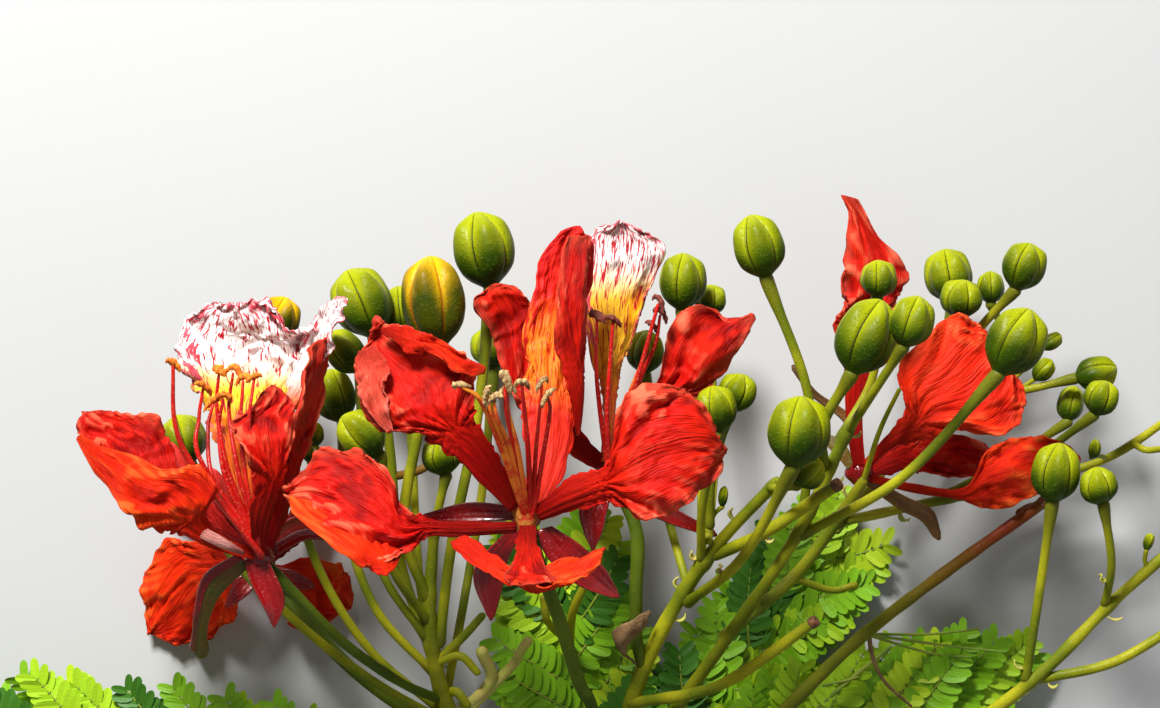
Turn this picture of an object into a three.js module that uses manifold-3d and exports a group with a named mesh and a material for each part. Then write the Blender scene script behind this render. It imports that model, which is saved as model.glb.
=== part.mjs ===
// A cut flowering branch of a flame tree, lying on its side with its flowers to the eye.
// A bark-covered stem carries six feathery leaves and eleven green flower stalks, and on
// those stand five open blooms and thirty-five buds. Millimetres, +Z up from the floor.

import * as THREE from "three";
import { mergeVertices } from "three/addons/utils/BufferGeometryUtils.js";
import Module from "manifold-3d";

const wasm = await Module();
wasm.setup();

// How a place in the picture, (x, y) in its pixels, becomes a place on the branch. The eye
// looks straight down, so a part that lies higher looks larger.
const MM_PER_PIXEL = 0.27;
const PICTURE_CENTRE = { x: 580, y: 354 };
const EYE_HEIGHT = 1200;
const FOCUS_HEIGHT = 60;

// Sizes shared by many parts, in mm
const GAP = 0.3;
const STEM_SIDES = 8;
const STALK_SIDES = 6;
const STATION_SPACING = 30;
const ROUND_END = 1.2;
const BUD_STALK_RADIUS = { least: 0.7, perWidth: 0.045 };
const PETAL_THICKNESS = 1.1;
const SEPAL_THICKNESS = 1.3;
const PETAL_GRID = { across: 2, along: 4 };
const SEPAL_GRID = { across: 1, along: 2 };
const PETAL_BULGE = 2.5;
const CUP_RADIUS = 4.2;
const ROOT_SHARE = 0.35;
const FLOWER_STALK_RADIUS = { foot: 1.7, cup: 2.1 };
const FILAMENT_RADIUS = 0.9;
const FILAMENT_SIDES = 4;
const LEAF_THICKNESS = 1.6;
const LEAF_HALVES = 2;
const PETIOLE_HALF_WIDTH = 1.8;

// A bud's outline: how wide it is, as a share of its half width, from its neck to its tip
const BUD_OUTLINE = [[0.07, 0.5], [0.26, 0.88], [0.52, 1], [0.77, 0.85], [0.93, 0.44]];

const BARK = { color: 0x6b5a48, roughness: 0.9 };
const GREEN_STALK = { color: 0x8f9e35, roughness: 0.5 };
const GREEN_BUD = { color: 0x6f8f24, roughness: 0.4 };
const RED_PETAL = { color: 0xe03318, roughness: 0.55 };
const GREEN_LEAF = { color: 0x4f8a2b, roughness: 0.6 };

// The bark-covered stem, from its flat cut to the point where the flower stalks part
const WOODY_STEM = {
  radius: { foot: 7.4, tip: 5.2 },
  course: [[572, 1240, 7.6], [586, 1060, 8], [598, 920, 9], [605, 850, 13]],
};

// Each flower stalk is one tapering limb: its radii in mm, and where it is seen from foot to tip
const FLOWER_STALKS = {
  stalk_left: {
    radius: { foot: 2.6, tip: 1.5 },
    course: [
      [596, 880, 12], [530, 806, 21], [472, 750, 27], [444, 708, 30], [435, 664, 34],
      [430, 629, 36], [431, 593, 38], [434, 530, 41],
    ],
  },
  stalk_middle: {
    radius: { foot: 2.8, tip: 1.5 },
    course: [
      [604, 872, 13], [613, 790, 24], [622, 708, 32], [645, 664, 36], [681, 613, 42],
      [701, 570, 46], [710, 532, 50], [724, 515, 52], [748, 496, 56], [775, 486, 62],
    ],
  },
  stalk_right: {
    radius: { foot: 2, tip: 1.5 },
    course: [
      [614, 800, 24], [660, 732, 30], [700, 673, 38], [724, 638, 42], [759, 600, 47],
      [800, 529, 55], [824, 459, 60], [850, 428, 62],
    ],
  },
  stalk_right_low: {
    radius: { foot: 1.8, tip: 1.6 },
    course: [[722, 640, 41], [748, 624, 36], [780, 590, 34], [812, 558, 34], [846, 524, 38], [860, 484, 42]],
  },
  stalk_right_back: {
    radius: { foot: 1.4, tip: 1.1 },
    course: [[838, 532, 37], [880, 476, 26], [930, 412, 18], [985, 346, 17]],
  },
  stalk_far_right: {
    radius: { foot: 1.5, tip: 1.1 },
    course: [
      [850, 520, 38], [900, 512, 27], [950, 495, 20], [1020, 482, 20], [1095, 464, 25],
      [1158, 425, 30], [1188, 405, 32],
    ],
  },
  stalk_edge: {
    radius: { foot: 2.6, tip: 1.4 },
    course: [
      [608, 884, 12], [700, 868, 20], [800, 832, 27], [900, 784, 34], [993, 708, 43],
      [1052, 664, 47], [1102, 611, 48], [1160, 564, 50], [1196, 528, 52],
    ],
  },
  stalk_edge_low: {
    radius: { foot: 1.5, tip: 1.3 },
    course: [[1030, 682, 45], [1060, 684, 47], [1111, 664, 49], [1160, 635, 50], [1200, 610, 50]],
  },
  stalk_bare_long: {
    radius: { foot: 2.2, tip: 1.5 },
    course: [
      [612, 866, 13], [680, 812, 20], [760, 735, 26], [840, 655, 31], [896, 611, 35],
      [964, 558, 39], [1041, 504, 41],
    ],
  },
  stalk_bare_cut: {
    radius: { foot: 1.7, tip: 1.5 },
    course: [[624, 706, 33], [655, 702, 39], [700, 693, 44], [759, 664, 50], [811, 624, 56]],
  },
  stalk_bare_stub: {
    radius: { foot: 1.6, tip: 1.7 },
    course: [[706, 560, 47], [760, 535, 57], [834, 487, 66]],
  },
};

// Each bud: its width in mm, where its tip and its neck are seen, and its stalk's course from
// the flower stalk that carries it up to the neck
const BUDS = {
  bud_01: { width: 16.6, tip: [476, 212, 45], neck: [492, 292, 45],
    stalk: [[437, 664, 34], [444, 600, 38], [455, 524, 41], [466, 470, 44], [486, 370, 45]] },
  bud_02: { width: 17.4, tip: [430, 256, 54], neck: [441, 352, 54],
    stalk: [[430, 606, 37], [412, 575, 43], [405, 545, 46], [407, 470, 49], [428, 410, 52]] },
  bud_03: { width: 16, tip: [347, 270, 36], neck: [376, 340, 36],
    stalk: [[434, 662, 34], [418, 630, 30], [400, 560, 32], [391, 470, 36], [387, 400, 36]] },
  bud_04: { width: 12, tip: [398, 286, 27], neck: [405, 340, 26],
    stalk: [[441, 693, 31], [428, 645, 26], [416, 540, 25], [411, 430, 25]] },
  bud_05: { width: 10.2, tip: [329, 333, 50], neck: [362, 374, 50],
    stalk: [[431, 645, 35], [412, 612, 41], [389, 580, 44], [368, 545, 47], [364, 460, 49]] },
  bud_06: { width: 11.6, tip: [330, 369, 38], neck: [344, 425, 38],
    stalk: [[438, 680, 32], [413, 656, 35], [372, 603, 37], [347, 550, 38], [348, 480, 38]] },
  bud_07: { width: 12, tip: [342, 416, 62], neck: [382, 458, 60],
    stalk: [[430, 626, 36], [404, 588, 47], [388, 555, 53], [384, 505, 58]] },
  bud_08: { width: 12.4, tip: [176, 415, 40], neck: [191, 466, 40],
    stalk: [[455, 727, 28], [404, 702, 34], [330, 648, 39], [262, 592, 41], [215, 530, 41]] },
  bud_09: { width: 11.5, tip: [286, 297, 35], neck: [271, 344, 35],
    stalk: [[449, 716, 29], [405, 684, 27], [340, 612, 30], [302, 520, 33], [284, 420, 34]] },
  bud_10: { width: 11, tip: [440, 437, 45], neck: [446, 478, 44],
    stalk: [[433, 536, 41], [438, 510, 43]] },
  bud_11: { width: 11.5, tip: [487, 326, 7], neck: [494, 370, 7],
    stalk: [[444, 708, 30], [454, 668, 24], [470, 560, 16], [488, 450, 9]] },
  bud_12: { width: 12.8, tip: [684, 253, 40], neck: [682, 314, 39],
    stalk: [[702, 566, 46], [707, 520, 40], [701, 450, 38], [690, 380, 38]] },
  bud_13: { width: 9.2, tip: [713, 285, 30], neck: [706, 316, 29],
    stalk: [[709, 534, 50], [716, 490, 38], [714, 400, 30]] },
  bud_14: { width: 10.5, tip: [648, 330, 22], neck: [645, 376, 22],
    stalk: [[690, 598, 43], [676, 550, 34], [656, 460, 25]] },
  bud_15: { width: 10.2, tip: [743, 374, 62], neck: [729, 414, 62],
    stalk: [[710, 526, 50], [712, 490, 55], [716, 448, 60]] },
  bud_16: { width: 10.8, tip: [712, 386, 72], neck: [718, 437, 71],
    stalk: [[701, 570, 46], [701, 545, 53], [703, 500, 61], [711, 460, 68]] },
  bud_17: { width: 13.4, tip: [750, 215, 68], neck: [767, 281, 68],
    stalk: [[804, 518, 56], [807, 480, 61], [809, 400, 66], [803, 371, 67], [786, 321, 68]] },
  bud_18: { width: 16.4, tip: [801, 396, 88], neck: [792, 472, 87],
    stalk: [[688, 604, 43], [712, 590, 56], [748, 550, 71], [778, 492, 84]] },
  bud_19: { width: 9.6, tip: [823, 463, 75], neck: [795, 486, 73],
    stalk: [[768, 488, 61], [782, 488, 68]] },
  bud_20: { width: 9.8, tip: [877, 260, 66], neck: [877, 300, 65],
    stalk: [[836, 444, 61], [864, 400, 56], [881, 340, 59]] },
  bud_21: { width: 16.2, tip: [882, 300, 80], neck: [850, 378, 79],
    stalk: [[822, 466, 60], [820, 438, 69], [830, 406, 76]] },
  bud_22: { width: 11.6, tip: [919, 296, 90], neck: [902, 350, 89],
    stalk: [[848, 431, 62], [862, 410, 72], [880, 382, 83]] },
  bud_23: { width: 13.2, tip: [944, 249, 25], neck: [954, 306, 24],
    stalk: [[912, 436, 21], [938, 366, 21]] },
  bud_24: { width: 11.4, tip: [965, 280, 39], neck: [962, 321, 37],
    stalk: [[934, 408, 18], [966, 366, 27]] },
  bud_25: { width: 7.6, tip: [990, 271, 27], neck: [991, 306, 27],
    stalk: [[985, 347, 17], [1000, 328, 22]] },
  bud_26: { width: 12, tip: [1030, 243, 42], neck: [1014, 293, 40],
    stalk: [[978, 355, 17], [972, 340, 28], [992, 317, 37]] },
  bud_27: { width: 15.6, tip: [1030, 309, 74], neck: [996, 378, 73],
    stalk: [[794, 540, 54], [828, 522, 60], [884, 493, 63], [916, 464, 66], [959, 420, 70]] },
  bud_28: { width: 9.4, tip: [1117, 368, 30], neck: [1073, 379, 29],
    stalk: [[957, 380, 18], [990, 392, 22], [1030, 388, 27]] },
  bud_29: { width: 9.4, tip: [1107, 381, 42], neck: [1093, 417, 41],
    stalk: [[960, 492, 20], [1010, 470, 28], [1062, 444, 36]] },
  bud_30: { width: 7.4, tip: [1075, 386, 22], neck: [1067, 424, 22],
    stalk: [[932, 500, 22], [960, 486, 15], [1000, 466, 16], [1047, 440, 20]] },
  bud_31: { width: 13, tip: [1061, 443, 62], neck: [1052, 506, 61],
    stalk: [[1024, 690, 45], [1030, 660, 49], [1041, 580, 55]] },
  bud_32: { width: 10.2, tip: [1097, 467, 66], neck: [1104, 507, 65],
    stalk: [[1105, 608, 48], [1110, 585, 54], [1111, 545, 61]] },
  bud_33: { width: 10, tip: [1240, 462, 56], neck: [1224, 498, 55],
    stalk: [[1190, 534, 51], [1210, 518, 54]] },
  bud_34: { width: 9, tip: [1252, 580, 50], neck: [1221, 598, 50],
    stalk: [[1193, 614, 50], [1208, 606, 50]] },
  bud_35: { width: 8.6, tip: [1230, 376, 34], neck: [1200, 397, 33],
    stalk: [[1182, 409, 32], [1192, 403, 32]] },
};

// Each bloom: its cup, its stalk, and for each petal and sepal the course of its left and its
// right edge from the cup to its tip
const BLOOMS = {
  bloom_left: {
    cup: [259, 555, 80],
    stalk: [[441, 700, 31], [400, 682, 44], [344, 643, 58], [292, 591, 71]],
    petals: [
      { left: [[254, 548, 80], [226, 532, 86], [214, 494, 94], [172, 439, 91], [106, 408, 84]],
        right: [[256, 560, 80], [215, 553, 84], [164, 532, 89], [108, 489, 93], [76, 430, 88]] },
      { left: [[250, 545, 76], [222, 460, 70], [200, 392, 64], [182, 350, 60], [205, 304, 61]],
        right: [[262, 548, 76], [272, 460, 69], [300, 385, 62], [334, 330, 60], [340, 297, 64]] },
      { left: [[253, 552, 82], [252, 505, 92], [238, 455, 97], [230, 426, 95], [262, 392, 90]],
        right: [[265, 552, 82], [278, 500, 89], [296, 445, 90], [300, 415, 88], [288, 391, 86]] },
      { left: [[262, 552, 78], [272, 505, 81], [288, 440, 82], [300, 385, 80], [314, 350, 76]],
        right: [[272, 553, 78], [290, 505, 76], [308, 445, 68], [322, 390, 60], [327, 350, 60]] },
      { left: [[250, 545, 74], [220, 512, 66], [180, 455, 58], [150, 438, 52]],
        right: [[258, 556, 74], [212, 534, 66], [140, 500, 58], [115, 468, 52]] },
    ],
    sepals: [
      { left: [[240, 556, 78], [205, 590, 74], [196, 612, 70], [195, 652, 62]],
        right: [[250, 563, 78], [213, 597, 74], [206, 613, 70], [206, 654, 62]] },
      { left: [[244, 560, 79], [250, 580, 80], [262, 604, 80], [271, 623, 78]],
        right: [[268, 560, 79], [282, 590, 80], [284, 606, 79], [277, 624, 78]] },
      { left: [[272, 545, 76], [304, 530, 72], [338, 533, 68], [352, 546, 64]],
        right: [[276, 556, 76], [306, 540, 72], [335, 543, 68], [346, 555, 64]] },
      { left: [[266, 540, 72], [292, 518, 64], [323, 517, 56]],
        right: [[272, 552, 72], [295, 535, 64], [322, 531, 56]] },
    ],
    filaments: [[[256, 548, 84], [194, 467, 93], [175, 423, 98], [173, 366, 100]]],
  },
  bloom_left_back: {
    cup: [262, 568, 22],
    stalk: [[462, 736, 27], [420, 718, 25], [360, 676, 24], [300, 616, 22]],
    petals: [
      { left: [[258, 560, 23], [215, 548, 16], [165, 540, 10], [143, 576, 7], [146, 622, 4]],
        right: [[262, 574, 23], [242, 590, 16], [230, 622, 10], [200, 645, 6], [160, 640, 4]] },
      { left: [[264, 564, 22], [300, 562, 16], [340, 566, 9], [352, 597, 6]],
        right: [[266, 576, 22], [282, 612, 16], [294, 632, 9], [322, 622, 6]] },
      { left: [[254, 562, 22], [222, 530, 14], [178, 508, 7], [165, 490, 4]],
        right: [[262, 556, 22], [240, 510, 14], [215, 474, 7], [188, 462, 4]] },
      { left: [[262, 558, 22], [282, 524, 15], [298, 492, 8], [315, 484, 5]],
        right: [[268, 566, 22], [296, 548, 15], [322, 524, 8], [332, 504, 5]] },
    ],
    sepals: [
      { left: [[256, 566, 22], [236, 580, 24], [226, 600, 24]],
        right: [[264, 574, 22], [248, 594, 24], [232, 606, 24]] },
      { left: [[268, 566, 22], [290, 570, 24], [310, 580, 24]],
        right: [[264, 574, 22], [282, 588, 24], [304, 590, 24]] },
    ],
    filaments: [],
  },
  bloom_centre: {
    cup: [526, 517, 82],
    stalk: [[612, 800, 23], [603, 770, 34], [592, 708, 52], [579, 682, 58], [559, 619, 69], [540, 566, 77]],
    petals: [
      { left: [[511, 511, 84], [452, 457, 94], [398, 434, 98], [358, 395, 95], [362, 350, 91]],
        right: [[520, 502, 84], [480, 425, 94], [472, 392, 97], [472, 356, 93], [400, 325, 90]] },
      { left: [[516, 533, 84], [430, 537, 92], [388, 572, 100], [322, 528, 97], [292, 508, 92]],
        right: [[516, 521, 84], [428, 517, 92], [386, 466, 92], [330, 448, 89], [300, 470, 88]] },
      { left: [[536, 505, 84], [611, 460, 96], [620, 408, 100], [668, 384, 99], [706, 408, 95]],
        right: [[541, 522, 84], [610, 502, 96], [642, 521, 100], [698, 495, 98], [724, 468, 94]] },
      { left: [[519, 527, 84], [517, 548, 95], [463, 547, 111], [482, 568, 116], [512, 584, 117]],
        right: [[535, 527, 84], [537, 548, 95], [597, 552, 111], [578, 571, 116], [543, 584, 117]] },
      { left: [[528, 505, 80], [525, 430, 71], [526, 343, 66], [543, 265, 64], [563, 231, 64]],
        right: [[545, 505, 78], [574, 430, 67], [580, 335, 62], [586, 280, 60], [588, 238, 62]] },
    ],
    sepals: [
      { left: [[515, 506, 80], [468, 503, 78], [424, 514, 74]],
        right: [[515, 520, 80], [468, 522, 78], [426, 521, 74]] },
      { left: [[512, 526, 80], [480, 560, 78], [474, 582, 74], [486, 614, 70]],
        right: [[522, 532, 80], [508, 560, 78], [503, 585, 74], [495, 616, 70]] },
      { left: [[536, 530, 81], [548, 558, 82], [578, 585, 81], [612, 598, 78]],
        right: [[552, 526, 81], [580, 545, 82], [604, 568, 81], [617, 589, 78]] },
    ],
    filaments: [
      [[524, 512, 84], [500, 445, 98], [480, 400, 108], [462, 387, 110]],
      [[530, 510, 84], [528, 450, 96], [522, 385, 106]],
    ],
  },
  bloom_centre_back: {
    cup: [610, 470, 50],
    stalk: [[643, 667, 36], [637, 640, 40], [636, 590, 44], [636, 530, 46]],
    petals: [
      { left: [[600, 468, 50], [545, 425, 55], [505, 368, 57], [478, 320, 58], [482, 291, 58]],
        right: [[605, 458, 50], [556, 408, 55], [532, 350, 55], [533, 310, 55], [516, 286, 56]] },
      { left: [[600, 474, 48], [568, 450, 45], [548, 405, 42], [550, 366, 40]],
        right: [[606, 463, 48], [582, 424, 45], [577, 386, 42], [568, 356, 40]] },
      { left: [[600, 462, 50], [602, 400, 46], [592, 345, 42], [582, 275, 40], [600, 228, 42]],
        right: [[612, 462, 50], [617, 400, 46], [636, 345, 42], [658, 272, 40], [655, 234, 42]] },
      { left: [[612, 462, 52], [652, 392, 61], [666, 346, 63], [690, 308, 61], [730, 311, 58]],
        right: [[620, 466, 52], [668, 400, 61], [706, 390, 62], [736, 347, 60], [754, 319, 58]] },
      { left: [[614, 468, 48], [640, 452, 45], [664, 440, 43], [678, 452, 41]],
        right: [[616, 480, 48], [642, 482, 45], [666, 484, 43], [678, 476, 41]] },
    ],
    sepals: [
      { left: [[600, 478, 49], [580, 506, 52], [584, 532, 52], [591, 549, 50]],
        right: [[615, 480, 49], [608, 506, 52], [602, 532, 52], [595, 549, 50]] },
      { left: [[616, 476, 47], [662, 502, 44], [714, 530, 40]],
        right: [[612, 487, 47], [655, 517, 44], [710, 537, 40]] },
      { left: [[608, 464, 51], [622, 440, 52], [634, 424, 50]],
        right: [[618, 470, 51], [634, 452, 52], [642, 434, 50]] },
    ],
    filaments: [
      [[610, 466, 54], [607, 415, 60], [613, 322, 64]],
      [[615, 466, 54], [634, 392, 68], [658, 305, 71]],
    ],
  },
  bloom_right: {
    cup: [860, 472, 42],
    stalk: [],
    petals: [
      { left: [[853, 468, 42], [845, 390, 42], [838, 318, 44], [847, 252, 45], [841, 194, 44]],
        right: [[865, 466, 42], [868, 390, 42], [898, 310, 40], [894, 258, 41], [858, 199, 43]] },
      { left: [[862, 462, 44], [895, 424, 47], [900, 370, 49], [946, 320, 48], [988, 336, 46]],
        right: [[868, 470, 44], [912, 442, 47], [975, 434, 47], [1022, 425, 45], [1020, 374, 44]] },
      { left: [[866, 468, 40], [905, 446, 36], [948, 434, 32], [988, 446, 30]],
        right: [[868, 478, 40], [910, 474, 36], [950, 480, 32], [988, 474, 30]] },
      { left: [[870, 474, 42], [938, 486, 45], [982, 460, 46], [1030, 434, 46], [1070, 446, 44]],
        right: [[870, 482, 42], [936, 497, 45], [982, 505, 46], [1034, 496, 46], [1078, 472, 44]] },
      { left: [[854, 466, 38], [868, 420, 36], [890, 372, 34], [908, 340, 32]],
        right: [[866, 470, 38], [896, 436, 35], [928, 398, 33], [930, 360, 31]] },
    ],
    sepals: [
      { left: [[852, 466, 40], [846, 425, 38], [812, 396, 36], [792, 370, 34]],
        right: [[862, 468, 40], [855, 421, 38], [817, 392, 36], [798, 367, 34]] },
      { left: [[866, 474, 40], [904, 496, 38], [932, 510, 36], [941, 532, 34]],
        right: [[862, 482, 40], [898, 508, 38], [922, 521, 36], [933, 537, 34]] },
      { left: [[848, 470, 41], [836, 455, 40], [826, 446, 38]],
        right: [[856, 464, 41], [846, 446, 40], [836, 437, 38]] },
    ],
    filaments: [[[864, 466, 46], [880, 430, 52], [899, 390, 55]]],
  },
};

// Each leaf is a thin blade: its half width in mm, and its midrib's course from the stem out
const LEAVES = {
  leaf_left: { halfWidth: 33,
    course: [[590, 936, 8], [480, 892, 17], [320, 836, 23], [130, 792, 20], [-40, 768, 9]] },
  leaf_right: { halfWidth: 29,
    course: [[606, 908, 8], [690, 842, 12], [800, 776, 14], [905, 738, 12], [1000, 712, 5]] },
  leaf_middle: { halfWidth: 22,
    course: [[602, 890, 9], [594, 800, 11], [580, 710, 11], [564, 620, 10], [558, 548, 8]] },
  leaf_back: { halfWidth: 18,
    course: [[610, 868, 8], [664, 770, 5], [730, 680, 4], [790, 600, 3], [842, 540, 2]] },
  leaf_low_left: { halfWidth: 31,
    course: [[584, 1010, 8], [490, 1040, 14], [350, 1090, 16], [180, 1150, 6]] },
  leaf_low_right: { halfWidth: 31,
    course: [[594, 1024, 8], [710, 1050, 14], [860, 1096, 16], [1020, 1150, 6]] },
};

// How wide a leaf is, as a share of its half width, along its midrib
const LEAF_OUTLINE = [0, 0.1, 0.78, 1, 0.97, 0.78, 0.16];

function seen([x, y, height]) {
  const scale = (MM_PER_PIXEL * (EYE_HEIGHT - height)) / (EYE_HEIGHT - FOCUS_HEIGHT);
  return new THREE.Vector3((x - PICTURE_CENTRE.x) * scale, (PICTURE_CENTRE.y - y) * scale, height);
}

function courseOf(places) {
  return new THREE.CatmullRomCurve3(places.map(seen), false, "centripetal");
}

// A closed mesh as a solid: corners merged, pole slivers dropped, faces turned outwards
function asSolid(geometry) {
  const bare = new THREE.BufferGeometry();
  bare.setAttribute("position", geometry.getAttribute("position"));
  bare.setIndex(geometry.getIndex());
  const merged = mergeVertices(bare);
  const index = merged.getIndex().array;
  const corners = merged.getAttribute("position");
  const triangles = [];
  let volume = 0;
  for (let k = 0; k < index.length; k += 3) {
    const [a, b, c] = [index[k], index[k + 1], index[k + 2]];
    if (a === b || b === c || c === a) continue;
    triangles.push([a, b, c]);
    const [p, q, r] = [a, b, c].map((i) => new THREE.Vector3().fromBufferAttribute(corners, i));
    volume += p.dot(q.cross(r));
  }
  const triVerts = Uint32Array.from(triangles.flatMap(([a, b, c]) => (volume > 0 ? [a, b, c] : [a, c, b])));
  const vertProperties = Float32Array.from(corners.array);
  return new wasm.Manifold(new wasm.Mesh({ numProp: 3, vertProperties, triVerts }));
}

// The frames of a limb's stations, each carried on from the one before without a twist
function carriedFrames(curve, stations) {
  const tangents = stations.map(({ at }) => curve.getTangentAt(at));
  let side = new THREE.Vector3(0, 0, 1).cross(tangents[0]).normalize();
  return stations.map(({ at }, k) => {
    if (k > 0) {
      const turn = new THREE.Quaternion().setFromUnitVectors(tangents[k - 1], tangents[k]);
      side = side.clone().applyQuaternion(turn);
    }
    const lift = new THREE.Vector3().crossVectors(tangents[k], side).normalize();
    return { point: curve.getPointAt(at), side, lift };
  });
}

// A round body along a curve, from a turned profile that is bent to follow it. A station
// says how far along it is, from 0 to 1, and its radius.
function sweep(curve, stations, sides) {
  const profile = stations.map(({ at, radius }) => new THREE.Vector2(radius, at));
  const turned = new THREE.LatheGeometry(profile, sides);
  const corners = turned.getAttribute("position");
  const frames = carriedFrames(curve, stations);
  for (let k = 0; k < corners.count; k += 1) {
    const { point, side, lift } = frames[k % stations.length];
    const place = point.clone();
    place.addScaledVector(side, corners.getX(k));
    place.addScaledVector(lift, corners.getZ(k));
    corners.setXYZ(k, place.x, place.y, place.z);
  }
  return asSolid(turned);
}

// Stations of a tapering limb with a flat foot and a short rounded tip
function limbStations(length, radius, grow, last = 1) {
  const steps = Math.max(2, Math.round((length * last) / STATION_SPACING));
  const stations = [{ at: 0, radius: 0 }];
  for (let k = 0; k <= steps; k += 1) {
    const share = k / steps;
    stations.push({
      at: share * last,
      radius: THREE.MathUtils.lerp(radius.foot, radius.tip, share) + grow,
    });
  }
  return stations;
}

function limb({ course, radius }, sides, grow) {
  const curve = courseOf(course);
  const length = curve.getLength();
  const roundFrom = 1 - ROUND_END / length;
  const stations = limbStations(length, radius, grow, roundFrom);
  stations.push({ at: 1, radius: (radius.tip + grow) / 2 }, { at: 1, radius: 0 });
  return sweep(curve, stations, sides);
}

// A bud and its stalk are one body, so that the green of the stalk runs on into the bud
function bud({ width, tip, neck, stalk }, grow) {
  const curve = courseOf([...stalk, neck, tip]);
  const length = curve.getLength();
  const share = seen(neck).distanceTo(seen(tip)) / length;
  const stalkRadius = BUD_STALK_RADIUS.least + BUD_STALK_RADIUS.perWidth * width;
  const radius = { foot: stalkRadius, tip: stalkRadius };
  const stations = limbStations(length, radius, grow, 1 - share);
  for (const [at, part] of BUD_OUTLINE) {
    stations.push({ at: 1 - share + share * at, radius: (part * width) / 2 + grow });
  }
  stations.push({ at: 1, radius: 0 });
  return sweep(curve, stations, STALK_SIDES);
}

// A thin blade between two edges, from a flat box that is bent to lie between them. Its
// root lies inside the cup, so that the two are one body.
function blade({ left, right }, root, grid, thickness, bulge) {
  const inside = (place) => place.map((value, axis) => THREE.MathUtils.lerp(root[axis], value, ROOT_SHARE));
  const leftEdge = courseOf([inside(left[0]), ...left]);
  const rightEdge = courseOf([inside(right[0]), ...right]);
  const surface = (across, along) => {
    const place = leftEdge.getPoint(along).lerp(rightEdge.getPoint(along), across);
    place.z += bulge * 4 * across * (1 - across) * Math.sin(Math.PI * along);
    return place;
  };
  const step = 0.01;
  const box = new THREE.BoxGeometry(1, 1, 1, grid.across, grid.along, 1);
  const corners = box.getAttribute("position");
  for (let k = 0; k < corners.count; k += 1) {
    const across = corners.getX(k) + 0.5;
    const along = corners.getY(k) + 0.5;
    const alongNear = Math.min(along, 1 - step);
    const acrossWay = surface(across + step, along).sub(surface(across, along));
    const alongWay = surface(across, alongNear + step).sub(surface(across, alongNear));
    const normal = acrossWay.cross(alongWay).normalize();
    const place = surface(across, along).addScaledVector(normal, corners.getZ(k) * thickness);
    corners.setXYZ(k, place.x, place.y, place.z);
  }
  return asSolid(box);
}

function cup(place, grow) {
  const ball = new THREE.OctahedronGeometry(CUP_RADIUS + grow, 1);
  const centre = seen(place);
  ball.translate(centre.x, centre.y, centre.z);
  return asSolid(ball);
}

function filament(places, root, grow) {
  const curve = courseOf([root, ...places]);
  const radius = { foot: FILAMENT_RADIUS, tip: FILAMENT_RADIUS };
  const stations = limbStations(curve.getLength(), radius, grow);
  stations.push({ at: 1, radius: 0 });
  return sweep(curve, stations, FILAMENT_SIDES);
}

function bloom({ cup: place, stalk, petals, sepals, filaments }, grow) {
  const bodies = [cup(place, grow)];
  const petalThickness = PETAL_THICKNESS + 2 * grow;
  for (const petal of petals) bodies.push(blade(petal, place, PETAL_GRID, petalThickness, PETAL_BULGE));
  for (const sepal of sepals) bodies.push(blade(sepal, place, SEPAL_GRID, SEPAL_THICKNESS + 2 * grow, 0));
  for (const places of filaments) bodies.push(filament(places, place, grow));
  if (stalk.length > 0) {
    const curve = courseOf([...stalk, place]);
    const radius = { foot: FLOWER_STALK_RADIUS.foot, tip: FLOWER_STALK_RADIUS.cup };
    const stations = limbStations(curve.getLength(), radius, grow);
    stations.push({ at: 1, radius: 0 });
    bodies.push(sweep(curve, stations, STALK_SIDES));
  }
  return bodies.reduce((whole, body) => whole.add(body));
}

// A leaf's outline lies to both sides of its midrib and narrows to a stalk at the stem
function leaf({ halfWidth, course }, grow) {
  const midrib = courseOf(course);
  const last = LEAF_OUTLINE.length - 1;
  const edges = { left: [], right: [] };
  LEAF_OUTLINE.forEach((share, k) => {
    const point = midrib.getPointAt(k / last);
    const tangent = midrib.getTangentAt(k / last);
    const out = new THREE.Vector3(-tangent.y, tangent.x, 0).normalize();
    const reach = PETIOLE_HALF_WIDTH + share * halfWidth;
    edges.left.push(point.clone().addScaledVector(out, reach));
    edges.right.push(point.clone().addScaledVector(out, -reach));
  });
  const box = new THREE.BoxGeometry(1, 1, 1, LEAF_HALVES, last, 1);
  const corners = box.getAttribute("position");
  for (let k = 0; k < corners.count; k += 1) {
    const row = Math.round((corners.getY(k) + 0.5) * last);
    const place = edges.left[row].clone().lerp(edges.right[row], corners.getX(k) + 0.5);
    place.z += corners.getZ(k) * (LEAF_THICKNESS + 2 * grow);
    corners.setXYZ(k, place.x, place.y, place.z);
  }
  return asSolid(box);
}

// Every piece in the order it is made: what comes later leaves room for what came before
const pieces = [{ name: "woody_stem", finish: BARK, make: (grow) => limb(WOODY_STEM, STEM_SIDES, grow) }];
for (const [name, stalk] of Object.entries(FLOWER_STALKS)) {
  pieces.push({ name, finish: GREEN_STALK, make: (grow) => limb(stalk, STALK_SIDES, grow) });
}
for (const [name, shape] of Object.entries(BUDS)) {
  pieces.push({ name, finish: GREEN_BUD, make: (grow) => bud(shape, grow) });
}
for (const [name, shape] of Object.entries(BLOOMS)) {
  pieces.push({ name, finish: RED_PETAL, make: (grow) => bloom(shape, grow) });
}
for (const [name, shape] of Object.entries(LEAVES)) {
  pieces.push({ name, finish: GREEN_LEAF, make: (grow) => leaf(shape, grow) });
}

function boxesMeet(one, other) {
  const [a, b] = [one.boundingBox(), other.boundingBox()];
  return [0, 1, 2].every((axis) => a.min[axis] <= b.max[axis] && b.min[axis] <= a.max[axis]);
}

function largestBody(solid) {
  const bodies = solid.decompose();
  return bodies.reduce((best, body) => (body.volume() > best.volume() ? body : best));
}

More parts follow.
